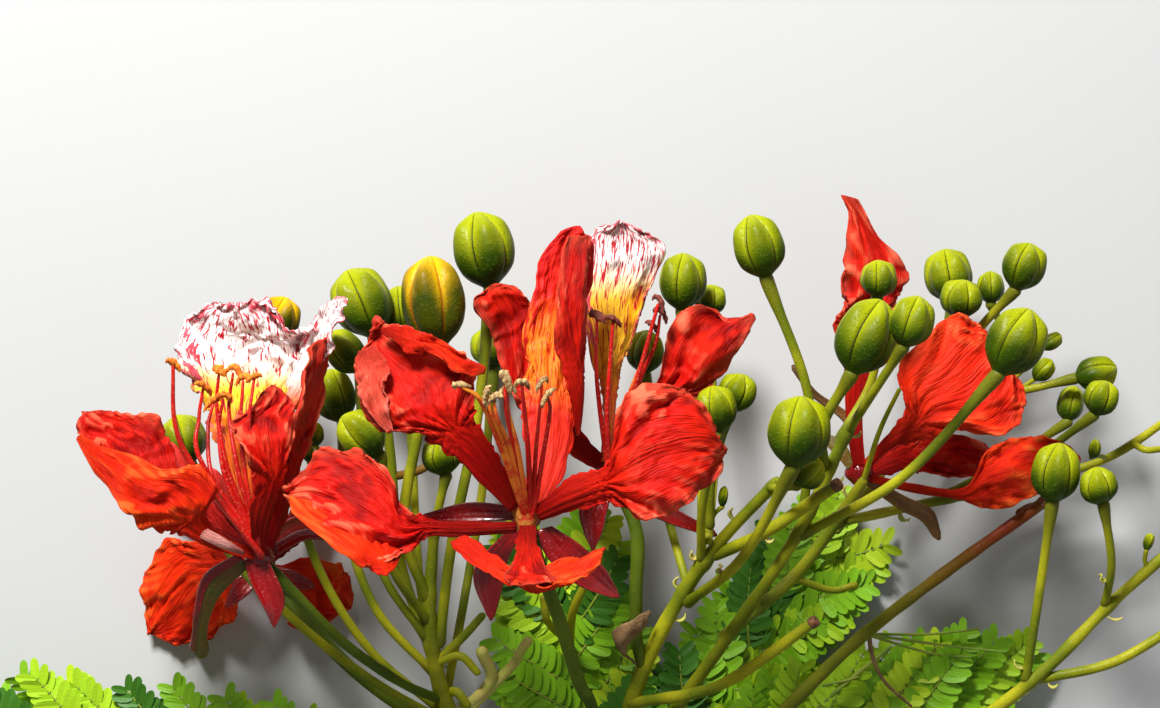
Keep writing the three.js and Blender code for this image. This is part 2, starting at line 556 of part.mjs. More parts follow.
// Cuts a new piece back to the gap from everything that is already there
function seated(piece, rooms) {
  let solid = piece.make(0);
  for (const room of rooms) {
    if (boxesMeet(solid, room)) solid = solid.subtract(room);
  }
  return largestBody(solid);
}

function toMesh(solid, { name, finish }) {
  const { vertProperties, triVerts } = solid.getMesh();
  const geometry = new THREE.BufferGeometry();
  geometry.setAttribute("position", new THREE.BufferAttribute(vertProperties, 3));
  geometry.setIndex(new THREE.BufferAttribute(triVerts, 1));
  const mesh = new THREE.Mesh(geometry, new THREE.MeshStandardMaterial({ ...finish, metalness: 0 }));
  mesh.name = name;
  return mesh;
}

const branch = new THREE.Group();
const rooms = [];
for (const piece of pieces) {
  branch.add(toMesh(seated(piece, rooms), piece));
  rooms.push(piece.make(GAP));
}

// The origin is the middle of the box, on the floor
const box = new THREE.Box3().setFromObject(branch);
const middle = box.getCenter(new THREE.Vector3());
branch.position.set(-middle.x, -middle.y, -box.min.z);

export default branch;
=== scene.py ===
"""A cut flowering branch of a flame tree, lying on a pale floor and seen from straight above.

Lengths are in millimetres until a mesh is made, and the meshes are in metres. A place on the
branch is given as seen: (x, y) in the picture's pixels and its height above the floor in mm.
"""

import logging
import math
from collections.abc import Sequence
from dataclasses import dataclass, field
from enum import Enum, IntEnum
from functools import cache

import bmesh
import bpy
import numpy as np
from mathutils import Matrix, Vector

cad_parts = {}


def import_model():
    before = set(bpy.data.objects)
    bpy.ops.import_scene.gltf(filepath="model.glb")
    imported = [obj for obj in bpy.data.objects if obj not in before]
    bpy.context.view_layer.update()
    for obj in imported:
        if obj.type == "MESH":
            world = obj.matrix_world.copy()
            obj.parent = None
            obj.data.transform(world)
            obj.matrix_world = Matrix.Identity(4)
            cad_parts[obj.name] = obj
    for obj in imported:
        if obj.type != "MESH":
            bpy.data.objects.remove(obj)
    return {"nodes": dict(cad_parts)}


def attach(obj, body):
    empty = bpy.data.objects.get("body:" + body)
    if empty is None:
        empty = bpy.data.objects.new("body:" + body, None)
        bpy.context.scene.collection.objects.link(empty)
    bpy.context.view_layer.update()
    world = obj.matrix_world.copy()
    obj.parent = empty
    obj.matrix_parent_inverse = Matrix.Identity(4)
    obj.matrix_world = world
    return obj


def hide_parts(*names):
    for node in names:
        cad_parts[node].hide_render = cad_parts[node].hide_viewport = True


log = logging.getLogger("branch")

MM = 0.001
MM_PER_PIXEL = 0.27
PICTURE_SIZE = (1160, 708)
EYE_HEIGHT = 1200.0
FOCUS_HEIGHT = 60.0
CUT_END_SEEN = (572, 1240, 7.6)
STALK_SIDES = 6
STEM_SIDES = 8
SEED = 20
WHOLE_TURN = 2 * math.pi
UP = np.array([0.0, 0.0, 1.0])

Place = tuple[float, float, float]
Colour = tuple[float, float, float]
Solid = tuple[np.ndarray, list]
Draws = np.random.Generator
Piece = bpy.types.Object
Material = bpy.types.Material
Node = bpy.types.Node
Socket = bpy.types.NodeSocket


class Slot(Enum):
    """Names of material slots."""

    BARK = "bark"
    STALK = "flower_stalk"
    BUD = "bud"
    BLOOM = "bloom"
    LEAF = "leaf"


class PetalKind(Enum):
    """How a petal is coloured, by the name of its finish."""

    SCARLET = "petal_scarlet"
    WARM = "petal_warm"
    # GLOWING and SHADED are lighter and darker copies of the red: painted backlight and painted shade.
    GLOWING = "petal_glowing"
    SHADED = "petal_shaded"
    FOLDED = "petal_folded"
    BLUSH = "petal_blush"
    WHITE_FLAG = "flag_white"
    FLAG_WING = "flag_wing"
    FAR_FLAG = "flag_far"
    ORANGE_FLAG = "flag_orange"


class AntherAge(Enum):
    """How old a bloom's anthers are, by the name of their finish."""

    FRESH = "anther_orange"
    OPEN = "anther_cream"
    SPENT = "anther_brown"


class Stream(IntEnum):
    """What keeps the random numbers of each kind of piece apart."""

    STALK = 100
    BLOOM = 200
    LEAF = 300
    STEM = 400
    SMALL_BUD = 500
    BRACT = 600
    DRIED_LEAF = 700


def draws(*key: int) -> Draws:
    """The random numbers of one piece, the same in each run."""
    return np.random.default_rng([SEED, *key])


def pixel_scale(height: np.ndarray) -> np.ndarray:
    """How many mm one pixel of the picture spans at a height above the floor."""
    return MM_PER_PIXEL * (EYE_HEIGHT - height) / (EYE_HEIGHT - FOCUS_HEIGHT)


def seen(places: Sequence[Place]) -> np.ndarray:
    """Turns places as seen in the picture into millimetres on the branch.

    Args:
        places: (x, y) in picture pixels and the height above the floor in mm, for each place.

    Returns:
        One row of x, y, z in mm for each place, before the shift to the part's own frame.
    """
    rows = np.array(places, float).reshape(-1, 3)
    scale = pixel_scale(rows[:, 2])
    x = (rows[:, 0] - PICTURE_SIZE[0] / 2) * scale
    y = (PICTURE_SIZE[1] / 2 - rows[:, 1]) * scale
    return np.column_stack([x, y, rows[:, 2]])


def spline(points: np.ndarray, at: np.ndarray) -> np.ndarray:
    """Runs a smooth line through points, which lie at even steps from 0 to 1.

    Args:
        points: the points to pass through, one row each.
        at: where to read the line, from 0 to 1.

    Returns:
        One row for each value of at.
    """
    ends = np.vstack([2 * points[0] - points[1], points, 2 * points[-1] - points[-2]])
    spot = np.clip(at, 0, 1) * (len(points) - 1)
    cell = np.minimum(spot.astype(int), len(points) - 2)
    t = (spot - cell)[:, None]
    p0, p1, p2, p3 = (ends[cell + k] for k in range(4))
    square = 2 * p0 - 5 * p1 + 4 * p2 - p3
    cube = 3 * p1 - p0 - 3 * p2 + p3
    return 0.5 * (2 * p1 + (p2 - p0) * t + square * t**2 + cube * t**3)


def smooth(low: float, high: float, value: np.ndarray) -> np.ndarray:
    """A soft step from 0 at low to 1 at high."""
    t = np.clip((value - low) / (high - low), 0, 1)
    return t * t * (3 - 2 * t)


def waves(rng: Draws, value: np.ndarray, low: float, high: float) -> np.ndarray:
    """A sum of sine waves with random phases, between about -1 and 1.

    Args:
        rng: the piece's own random numbers.
        value: where to read the waves, in radians.
        low: the lowest frequency.
        high: the highest frequency.

    Returns:
        The height of the waves for each value.
    """
    count = 5
    total = np.zeros_like(value, float)
    for frequency, phase in zip(np.linspace(low, high, count), rng.uniform(0, WHOLE_TURN, count)):
        total += np.sin(frequency * value + phase)
    return total / math.sqrt(count)


def hills(rng: Draws, x: np.ndarray, y: np.ndarray) -> np.ndarray:
    """Smooth random heights over a plane, with about one hill or hollow for each unit.

    Args:
        rng: the piece's own random numbers.
        x: where to read the heights.
        y: the same, the other way.

    Returns:
        Heights between -1 and 1.
    """
    size = 64
    lattice = rng.uniform(-1, 1, (size, size))
    column, row = np.floor(x).astype(int), np.floor(y).astype(int)
    across, along = smooth(0, 1, x - column), smooth(0, 1, y - row)
    near, far = (
        lattice[(row + step) % size, column % size] * (1 - across)
        + lattice[(row + step) % size, (column + 1) % size] * across for step in (0, 1))
    return near * (1 - along) + far * along


def unit(rows: np.ndarray) -> np.ndarray:
    """The rows as directions of length one."""
    return rows / np.maximum(np.linalg.norm(rows, axis=-1, keepdims=True), 1e-9)


def steps_along(points: np.ndarray) -> np.ndarray:
    """The lengths of the steps from each point to the next."""
    return np.linalg.norm(np.diff(points, axis=0), axis=1)


def headings(points: np.ndarray) -> np.ndarray:
    """Which way a line runs at each of its points."""
    return unit(np.gradient(points, axis=0))


def turns_round(sides: int) -> np.ndarray:
    """The angles of the corners of a ring."""
    return np.linspace(0, WHOLE_TURN, sides, endpoint=False)


@dataclass
class Course:
    """The middle line of a stalk, with its radius in mm and how browned it is, from foot to tip."""

    points: np.ndarray
    radii: np.ndarray
    browned: np.ndarray | float = 0.0

    def resampled(self, spacing: float) -> "Course":
        """The same course, smooth, with a point about every spacing mm."""
        count = max(6, int(steps_along(self.points).sum() / spacing))
        at = np.linspace(0, 1, count)
        radii = np.interp(at, np.linspace(0, 1, len(self.radii)), self.radii)
        return Course(spline(self.points, at), radii)


@dataclass
class Model:
    """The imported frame: where its nodes lie, and how a seen place is brought into it."""

    nodes: dict
    shift: np.ndarray = field(default_factory=lambda: np.zeros(3))

    def place(self, places: Sequence[Place]) -> np.ndarray:
        """Seen places, in mm in the part's own frame."""
        return seen(places) + self.shift

    def named(self, *starts: str) -> list[str]:
        """The nodes whose names start in one of these ways, in order."""
        return sorted(name for name in self.nodes if name.startswith(starts))

    def course(self, node: str, sides: int = STALK_SIDES) -> Course:
        """Reads the middle line of a swept node back from its rings of corners.

        Args:
            node: the CAD node, a stalk, a stem or a bud with its stalk.
            sides: how many corners each of its rings has.

        Returns:
            The course from its foot to its tip. The tip is a point, with radius 0.
        """
        mesh = bmesh.new()
        mesh.from_mesh(self.nodes[node].data)
        bmesh.ops.remove_doubles(mesh, verts=mesh.verts, dist=1e-6)
        tip, rings = self._rings(mesh, sides)
        centres, radii, used = [tip.co / MM], [0.0], {tip}
        for ring in rings:
            middle = self._middle(ring)
            centres.append(middle / MM)
            radii.append(sum((v.co - middle).length for v in ring) / len(ring) / MM)
            used.update(ring)
        foot = [v for v in mesh.verts if v not in used]
        if foot:
            centres.append(self._middle(foot) / MM)
            radii.append(radii[-1])
        points = np.array([list(c) for c in centres[::-1]])
        mesh.free()
        return Course(points, np.array(radii[::-1]))

    def stem(self) -> Course:
        """The course of the woody stem, from its cut end on."""
        course = self.course("woody_stem", STEM_SIDES)
        if course.radii[1] < course.radii[-2]:
            course = Course(course.points[::-1], course.radii[::-1])
        return course

    @staticmethod
    def _middle(corners: Sequence[bmesh.types.BMVert]) -> Vector:
        """The mean place of some corners, in metres."""
        return sum((v.co for v in corners), corners[0].co * 0) / len(corners)

    @staticmethod
    def _rings(mesh: bmesh.types.BMesh, sides: int) -> tuple:
        """The corner at the tip of a swept mesh, and the whole rings behind it.

        Args:
            mesh: the node's mesh with its doubles merged.
            sides: how many corners a ring has.

        Returns:
            The tip corner and a list of rings, from the tip to the foot.
        """
        best: tuple = (None, [])
        for start in mesh.verts:
            if len(start.link_edges) != sides:
                continue
            used = {start}
            ring = [start]
            rings = []
            while True:
                ahead = {e.other_vert(v) for v in ring for e in v.link_edges} - used
                if len(ahead) != sides:
                    break
                ring = list(ahead)
                rings.append(ring)
                used |= ahead
            if len(rings) > len(best[1]):
                best = (start, rings)
        return best


def in_scene(name: str, data: bpy.types.ID) -> Piece:
    """Puts a mesh, a light or a camera in the scene as an object of that name."""
    thing = bpy.data.objects.new(name, data)
    bpy.context.scene.collection.objects.link(thing)
    return thing


def store(mesh: bpy.types.Mesh, label: str, values: Sequence[float], kind: str = "FLOAT") -> None:
    """Keeps a named number or vector for each corner of a mesh."""
    part = "vector" if kind == "FLOAT_VECTOR" else "value"
    exact = np.asarray(values, np.int32 if kind == "INT" else np.float32)
    mesh.attributes.new(label, kind, "POINT").data.foreach_set(part, exact.ravel())


def new_object(
    name: str, solid: Solid, uvs: np.ndarray | None = None, crest: np.ndarray | None = None
) -> Piece:
    """Makes a smooth mesh object from points in mm and puts it in the scene.

    Args:
        name: the piece's name.
        solid: its corners, one row each, and the corners of each face.
        uvs: the u and v of each corner, where the finish follows the surface.
        crest: from 0 in a crumple's hollow to 1 on its crest, where a red petal's finish paints shade and
            highlights.

    Returns:
        The new object, which sits at the origin.
    """
    points, faces = solid
    mesh = bpy.data.meshes.new(name)
    mesh.from_pydata((points * MM).tolist(), [], list(faces))
    mesh.polygons.foreach_set("use_smooth", [True] * len(mesh.polygons))
    if uvs is not None:
        corner_of_loop = np.zeros(len(mesh.loops), int)
        mesh.loops.foreach_get("vertex_index", corner_of_loop)
        layer = mesh.uv_layers.new(name="UVMap")
        layer.data.foreach_set("uv", uvs[corner_of_loop].ravel().astype(np.float32))
    if crest is not None:
        store(mesh, "crest", crest)
    mesh.update()
    return in_scene(name, mesh)


def signed_volume(points: np.ndarray, quads: np.ndarray) -> float:
    """Six times the volume inside quads, below zero where they face inwards."""
    a, b, c, d = (points[quads[:, k]] for k in range(4))
    return sum(float((a * np.cross(p, q)).sum()) for p, q in ((b, c), (c, d)))


def grid_quads(across: int, along: int, wrap: bool = False) -> np.ndarray:
    """The quads of a grid whose rows run across.

    Args:
        across: how many corners a row has.
        along: how many rows there are.
        wrap: whether each row closes on itself.

    Returns:
        Four corner numbers for each quad.
    """
    columns = np.arange(across if wrap else across - 1)
    rows = np.arange(along - 1)[:, None]
    a = rows * across + columns
    b = rows * across + (columns + 1) % across
    return np.stack([a, b, b + across, a + across], axis=-1).reshape(-1, 4)


def thick_sheet(surface: np.ndarray, normal: np.ndarray, thickness: float) -> Solid:
    """Closes a grid of points into a thin solid sheet.

    Args:
        surface: points in mm, as rows along by columns across.
        normal: the direction that the sheet faces at each point.
        thickness: in mm.

    Returns:
        The corners of the closed sheet, top then bottom, and its quads.
    """
    along, across, _ = surface.shape
    points = np.vstack([(surface + normal * thickness / 2 * side).reshape(-1, 3) for side in (1, -1)])
    size = along * across
    upper = grid_quads(across, along)
    row = np.arange(across)
    column = np.arange(along) * across
    rim = np.concatenate([
        row, column[1:] + across - 1, row[::-1][1:] + (along - 1) * across, column[::-1][1:-1]])
    ahead = np.roll(rim, -1)
    walls = np.column_stack([ahead, rim, rim + size, ahead + size])
    quads = np.vstack([upper, upper[:, ::-1] + size, walls])
    if signed_volume(points, quads) < 0:
        quads = quads[:, ::-1]
    return points, quads


def frames_along(points: np.ndarray) -> tuple[np.ndarray, np.ndarray]:
    """Two directions square to a line at each of its points, carried on without a twist."""
    tangents = headings(points)
    side = unit(np.cross(tangents[0], UP) + 1e-6)
    sides = []
    for tangent in tangents:
        side = unit(side - tangent * np.dot(side, tangent))
        sides.append(side)
    return np.array(sides), np.cross(tangents, sides)


def tube(points: np.ndarray, radii: np.ndarray, sides: int) -> Solid:
    """A closed round tube with a pole at each end.

    Args:
        points: its middle line in mm.
        radii: the radius at each point, as one number or one for each side.
        sides: how many corners go round.

    Returns:
        The corners and the faces.
    """
    side, lift = frames_along(points)
    turn = turns_round(sides)[:, None]
    reach = np.broadcast_to(np.asarray(radii).reshape(len(points), -1), (len(points), sides))[..., None]
    rings = points[:, None] + reach * (np.cos(turn) * side[:, None] + np.sin(turn) * lift[:, None])
    return closed_rings(rings, points[0], points[-1])


def closed_rings(rings: np.ndarray, foot: np.ndarray, tip: np.ndarray) -> Solid:
    """Joins rings of corners into a closed skin, with a pole at each end.

    Args:
        rings: the corners, ring by ring.
        foot: the pole before the first ring.
        tip: the pole after the last.

    Returns:
        The corners and the faces.
    """
    count, sides, _ = rings.shape
    pole = count * sides
    last = pole - sides
    faces = [list(q) for q in grid_quads(sides, count, wrap=True)[:, ::-1]]
    for k in range(sides):
        ahead = (k + 1) % sides
        faces.append([pole, k, ahead])
        faces.append([pole + 1, last + ahead, last + k])
    return np.vstack([rings.reshape(-1, 3), foot, tip]), faces


def turned(
    foot: np.ndarray, ahead: np.ndarray, profile: Sequence[tuple[float, float]], sides: int,
    lobing: float = 0.0
) -> Solid:
    """A solid turned about a straight axis, which may be lobed five times round.

    Args:
        foot: where the axis starts, in mm.
        ahead: where it points.
        profile: pairs of height and radius in mm, from the foot pole to the tip pole.
        sides: how many corners go round.
        lobing: how deep the lobes are, as a share of the radius.

    Returns:
        The corners and the faces.
    """
    axis = unit(ahead)
    side = unit(np.cross(axis, [0.31, 0.17, 1.0]))
    lift = np.cross(axis, side)
    turn = turns_round(sides)[:, None]
    height, radius = np.array(profile).T[:, :, None, None]
    reach = radius * (1 + lobing * np.cos(5 * turn))
    rings = foot + height * axis + reach * (np.cos(turn) * side + np.sin(turn) * lift)
    return closed_rings(rings, foot + profile[0][0] * axis, foot + profile[-1][0] * axis)


def joined(parts: Sequence[Solid]) -> Solid:
    """Several sets of corners and faces as one."""
    faces: list = []
    start = 0
    for points, shape in parts:
        faces.extend([[int(i) + start for i in face] for face in shape])
        start += len(points)
    return np.vstack([points for points, _ in parts]), faces


class Shader:
    """A node tree, with short calls to add nodes and link them."""

    def __init__(self, tree: bpy.types.NodeTree) -> None:
        """Starts from an empty tree."""
        self.tree = tree
        tree.nodes.clear()

    def fill(self, node: Node, inputs: dict[str | int, object]) -> None:
        """Sets each named input of a node to a value, or links it to a socket."""
        for name, value in inputs.items():
            socket = node.inputs[name]
            if isinstance(value, Socket):
                self.tree.links.new(value, socket)
            elif socket.type == "RGBA":
                socket.default_value = (*value, 1.0)
            else:
                socket.default_value = value

    def add(self, kind: str, inputs: dict | None = None, **settings: object) -> Node:
        """Adds a node.

        Args:
            kind: the node's type name.
            inputs: for each input, a value or a socket to link from.
            **settings: the node's own properties.

        Returns:
            The new node.
        """
        node = self.tree.nodes.new(kind)
        for name, value in settings.items():
            setattr(node, name, value)
        self.fill(node, inputs or {})
        return node

    def math(self, operation: str, *values: object, clamp: bool = False) -> Socket:
        """Works out a sum of values or sockets, by the operation's name."""
        node = self.add("ShaderNodeMath", dict(enumerate(values)), operation=operation, use_clamp=clamp)
        return node.outputs[0]

    def times(self, a: object, b: object) -> Socket:
        """The product of two values or sockets."""
        return self.math("MULTIPLY", a, b)

    def weighted(self, *terms: tuple[Socket, float], start: object = 0.0, clamp: bool = False) -> Socket:
        """Adds up values by their weights.

        Args:
            *terms: each value and its weight.
            start: what they are added to.
            clamp: whether the total is kept between 0 and 1.

        Returns:
            The total.
        """
        for number, (value, weight) in enumerate(terms, 1):
            last = number == len(terms)
            start = self.math("MULTIPLY_ADD", value, weight, start, clamp=clamp and last)
        return start

    def off_middle(self, value: Socket) -> Socket:
        """How far a value is from one half."""
        return self.math("ABSOLUTE", self.math("SUBTRACT", value, 0.5))

    def mix(self, share: object, low: object, high: object) -> Socket:
        """A colour between low and high, by share."""
        return self.add("ShaderNodeMix", {0: share, 6: low, 7: high}, data_type="RGBA").outputs[2]

    def ramp(self, value: Socket, low: float, high: float) -> Socket:
        """A soft step of a value from 0 at low to 1 at high."""
        limits = {"Value": value, "From Min": low, "From Max": high}
        return self.add("ShaderNodeMapRange", limits, interpolation_type="SMOOTHSTEP").outputs["Result"]

    def noise(self, vector: Socket, scale: object, detail: float = 3.0) -> Socket:
        """A noise value over a vector."""
        node = self.add("ShaderNodeTexNoise", {"Vector": vector, "Scale": scale, "Detail": detail})
        return node.outputs["Fac"]

    def coordinates(self, kind: str) -> Socket:
        """The UV or the Object coordinates."""
        return self.add("ShaderNodeTexCoord").outputs[kind]

    def split(self, vector: Socket) -> tuple[Socket, Socket]:
        """The first two numbers of a vector."""
        apart = self.add("ShaderNodeSeparateXYZ", {0: vector})
        return apart.outputs[0], apart.outputs[1]

    def stretched(self, vector: Socket, scale: Place) -> Socket:
        """A vector scaled in each direction."""
        return self.add("ShaderNodeMapping", {"Vector": vector, "Scale": scale}).outputs[0]

    def mark(self, name: str) -> Socket:
        """A number that the mesh keeps under that name."""
        return self.add("ShaderNodeAttribute", attribute_name=name).outputs["Fac"]


def new_group(name: str, kind: str, inputs: dict[str, str | float], outputs: dict[str, str]) -> tuple:
    """Starts a group of nodes with named inputs and outputs.

    Args:
        name: the group's name.
        kind: its type of nodes.
        inputs: for each input, its socket type, or its starting value where it is a number.
        outputs: for each output, its socket type.

    Returns:
        A helper for its nodes, its input node and its output node.
    """
    group = bpy.data.node_groups.new(name, kind)
    for label, value in inputs.items():
        if isinstance(value, str):
            group.interface.new_socket(label, in_out="INPUT", socket_type=value)
        else:
            socket = group.interface.new_socket(label, in_out="INPUT", socket_type="NodeSocketFloat")
            socket.default_value = value
    for label, value in outputs.items():
        group.interface.new_socket(label, in_out="OUTPUT", socket_type=value)
    helper = Shader(group)
    return helper, group.nodes.new("NodeGroupInput"), group.nodes.new("NodeGroupOutput")


@cache
def fanned_veins() -> bpy.types.NodeTree:
    """Builds the shared effect of streaks that run along v and are counted across u, from 0 to 1."""
    inputs = {"UV": "NodeSocketVector", "Count": 20.0, "Length": 2.0, "Wander": 0.4}
    helper, entry, leave = new_group("fanned_veins", "ShaderNodeTree", inputs, {"Streak": "NodeSocketFloat"})
    uv, count, length, wander = entry.outputs[:4]
    across, along = helper.split(uv)
    wobble = helper.times(helper.noise(uv, 5.0), wander)
    across = helper.times(helper.weighted((wobble, 0.2), start=across), count)
    vector = helper.add("ShaderNodeCombineXYZ", {0: across, 1: helper.times(along, length)}).outputs[0]
    helper.fill(leave, {"Streak": helper.noise(vector, 1.0, 2.0)})
    return helper.tree


@cache
def skin_mottle() -> bpy.types.NodeTree:
    """Builds the shared effect of soft blotches and fine specks over the object, each from 0 to 1."""
    helper, entry, leave = new_group(
        "skin_mottle", "ShaderNodeTree", {"Blotch Size": 120.0, "Speck Size": 900.0},
        {"Blotch": "NodeSocketFloat", "Speck": "NodeSocketFloat"})
    place = helper.coordinates("Object")
    for label, low, high in (("Blotch", 0.35, 0.65), ("Speck", 0.52, 0.7)):
        noise = helper.noise(place, entry.outputs[f"{label} Size"])
        helper.fill(leave, {label: helper.ramp(noise, low, high)})
    return helper.tree


class Surface(Shader):
    """The node tree of one material, with one Principled shader."""

    def __init__(self, name: str, gloss: float) -> None:
        """Starts the material.

        Args:
            name: the material's name.
            gloss: how strong its highlights are.
        """
        self.material = bpy.data.materials.new(name)
        self.material.use_nodes = True
        super().__init__(self.material.node_tree)
        self.principled = self.add("ShaderNodeBsdfPrincipled", {"Specular IOR Level": gloss})
        self.add("ShaderNodeOutputMaterial", {"Surface": self.principled.outputs[0]})

    def streak(self, uv: Socket, count: float, length: float) -> Socket:
        """Places the veins and returns their streak value."""
        inputs = {"UV": uv, "Count": count, "Length": length}
        return self.add("ShaderNodeGroup", inputs, node_tree=fanned_veins()).outputs["Streak"]

    def skin(self, blotch: float, speck: float) -> tuple[Socket, Socket]:
        """Places the mottle and returns its blotches and its specks."""
        inputs = {"Blotch Size": blotch, "Speck Size": speck}
        node = self.add("ShaderNodeGroup", inputs, node_tree=skin_mottle())
        return node.outputs["Blotch"], node.outputs["Speck"]

    def margin(self, across: Socket, along: Socket, side_from: float, tip_from: float) -> Socket:
        """Rises to 1 at a blade's margin, from a share of its half width and of its length."""
        side = self.ramp(self.off_middle(across), side_from, 0.5)
        return self.math("MAXIMUM", side, self.ramp(along, tip_from, 1.0))

    def dress(self, colour: object, rough: object, height: Socket, depth_mm: float) -> Material:
        """Links the finished values to the Principled shader.

        Args:
            colour: the base colour.
            rough: the roughness.
            height: the relief, from 0 to 1.
            depth_mm: how deep the relief is.

        Returns:
            The material.
        """
        bump = self.add("ShaderNodeBump", {"Height": height, "Distance": depth_mm * MM, "Strength": 1.0})
        self.fill(self.principled, {"Base Color": colour, "Roughness": rough, "Normal": bump.outputs[0]})
        return self.material


@dataclass(frozen=True)
class RedPetalFinish:
    """A red petal: deep veins, a dark claw, a painted glow, painted highlights and painted shade."""

    name: str
    # light and glow paint light coming through; crest is a painted highlight; hollows get the deep colour as
    # painted shade.
    deep: Colour = (0.2, 0.001, 0.001)
    body: Colour = (0.54, 0.004, 0.001)
    light: Colour = (0.72, 0.018, 0.002)
    crest: Colour = (0.94, 0.16, 0.075)
    glow: float = 0.5
    hollow_shade_share: float = 0.75
    claw_share: float = 0.6
    gloss: float = 0.12
    depth_mm: float = 1.2

    def make(self) -> Material:
        """The finished material."""
        paint = Surface(self.name, self.gloss)
        uv = paint.coordinates("UV")
        across, along = paint.split(uv)
        streak = paint.streak(uv, 60.0, 3.0)
        blotch, _ = paint.skin(70.0, 1500.0)
        red = paint.mix(paint.ramp(streak, 0.2, 0.5), self.deep, self.body)
        # Painted light: patches of a lighter red, as where light comes through the petal.
        red = paint.mix(paint.times(blotch, self.glow), red, self.light)
        height = paint.mark("crest")
        # Painted shade: the hollows of the crumples turn towards the deep colour.
        hollow = paint.math("SUBTRACT", 1.0, paint.ramp(height, 0.1, 0.48))
        red = paint.mix(paint.times(hollow, self.hollow_shade_share), red, self.deep)
        # Painted highlight: the crests and the margins turn towards the crest colour.
        rim = paint.times(paint.margin(across, along, 0.34, 0.86), paint.ramp(along, 0.3, 0.6))
        pale = paint.weighted((paint.ramp(height, 0.56, 0.92), 0.6), (rim, 0.25), clamp=True)
        red = paint.mix(pale, red, self.crest)
        claw = paint.weighted((paint.ramp(along, 0.05, 0.45), -self.claw_share), start=self.claw_share)
        red = paint.mix(claw, red, self.deep)
        crumple = paint.noise(paint.stretched(uv, (16.0, 12.0, 1.0)), 1.0, 6.0)
        relief = paint.weighted((streak, 0.5), (crumple, 0.6))
        return paint.dress(red, paint.weighted((streak, 0.3), start=0.42), relief, self.depth_mm)


@dataclass(frozen=True)
class FlagFinish:
    """The streaked petal that stands behind the others: pale at its top, yellow at its claw."""

    name: str
    top: Colour = (0.9, 0.84, 0.8)
    middle: Colour = (0.94, 0.5, 0.015)
    low: Colour = (0.88, 0.15, 0.006)
    streaks: Colour = (0.42, 0.008, 0.02)
    margin: Colour = (0.66, 0.1, 0.13)
    top_from: float = 0.55
    streak_share: float = 0.8
    gloss: float = 0.2
    depth_mm: float = 0.9

    def make(self) -> Material:
        """The finished material."""
        paint = Surface(self.name, self.gloss)
        uv = paint.coordinates("UV")
        across, along = paint.split(uv)
        ground = paint.mix(paint.ramp(along, 0.25, 0.42), self.low, self.middle)
        ground = paint.mix(paint.ramp(along, self.top_from - 0.14, self.top_from + 0.06), ground, self.top)
        streak = paint.streak(uv, 34.0, 9.0)
        fine = paint.streak(uv, 76.0, 26.0)
        rim = paint.margin(across, along, 0.3, 0.84)
        upper = paint.ramp(along, 0.5, 1.0)
        both = paint.weighted((streak, 0.55), (fine, 0.45), (upper, 0.035), (rim, 0.055))
        spread = 0.1 * self.streak_share
        mark = paint.ramp(both, 0.6 - spread, 0.68 - spread)
        dyed = paint.mix(paint.times(rim, paint.ramp(fine, 0.4, 0.6)), self.streaks, self.margin)
        crumple = paint.noise(paint.stretched(uv, (10.0, 14.0, 1.0)), 1.0, 5.0)
        relief = paint.weighted((streak, 0.4), (crumple, 0.8))
        rough = paint.weighted((fine, 0.3), start=0.4)
        return paint.dress(paint.mix(mark, ground, dyed), rough, relief, self.depth_mm)


@dataclass(frozen=True)
class SkinFinish:
    """The live skin of a bud, a stalk or a sepal: a body colour with blotches and specks."""

    name: str
    body: Colour
    blotch: Colour
    speck: Colour
    roughness: float = 0.38
    depth_mm: float = 0.12
    blotch_size: float = 90.0
    speck_size: float = 1300.0
    seams: Colour | None = None
    # crown: a lighter colour towards a bud's top, partly its own and partly painted light on its top.
    crown: Colour | None = None
    crown_from: float = 0.36
    browned: Colour | None = None
    grain: float = 0.0
    gloss: float = 0.32

    def make(self) -> Material:
        """The finished material."""
        paint = Surface(self.name, self.gloss)
        blotch, speck = paint.skin(self.blotch_size, self.speck_size)
        colour = paint.mix(blotch, self.body, self.blotch)
        colour = paint.mix(paint.times(speck, 0.5), colour, self.speck)
        if self.seams:
            colour = self._seamed(paint, colour, blotch)
        if self.browned:
            patch = paint.weighted((blotch, 0.45), start=0.55)
            colour = paint.mix(paint.times(paint.mark("browned"), patch), colour, self.browned)
        if self.grain:
            streak = paint.streak(paint.coordinates("UV"), 24.0, 2.0)
            colour = paint.mix(paint.times(paint.ramp(streak, 0.4, 0.62), self.grain), colour, self.speck)
        return paint.dress(colour, paint.weighted((speck, 0.2), start=self.roughness), speck, self.depth_mm)

    def _seamed(self, paint: Surface, colour: Socket, blotch: Socket) -> Socket:
        """A bud's colour with its crown, painted highlights on its seams' lips, painted seam shade and dark
        seam lines.
        """
        across, along = paint.split(paint.coordinates("UV"))
        fold = paint.off_middle(paint.math("FRACT", across))
        height = paint.weighted((blotch, 0.1), (paint.ramp(fold, 0.1, 0.45), 0.16), start=along)
        # The crown is partly the bud's own paler tip and partly painted light falling on its top.
        colour = paint.mix(paint.ramp(height, self.crown_from, 1.16), colour, self.crown)
        # Painted highlight on the raised lip beside each seam.
        lip_highlight = paint.times(paint.ramp(fold, 0.33, 0.43), paint.ramp(along, 0.25, 0.8))
        colour = paint.mix(paint.times(lip_highlight, 0.45), colour, self.crown)
        # Painted shade in the valley around each seam's dark line.
        soft = paint.times(paint.ramp(fold, 0.43, 0.5), 0.4)
        seam = paint.math("MAXIMUM", soft, paint.ramp(fold, 0.465, 0.495))
        return paint.mix(paint.times(seam, paint.ramp(along, 0.03, 0.25)), colour, self.seams)


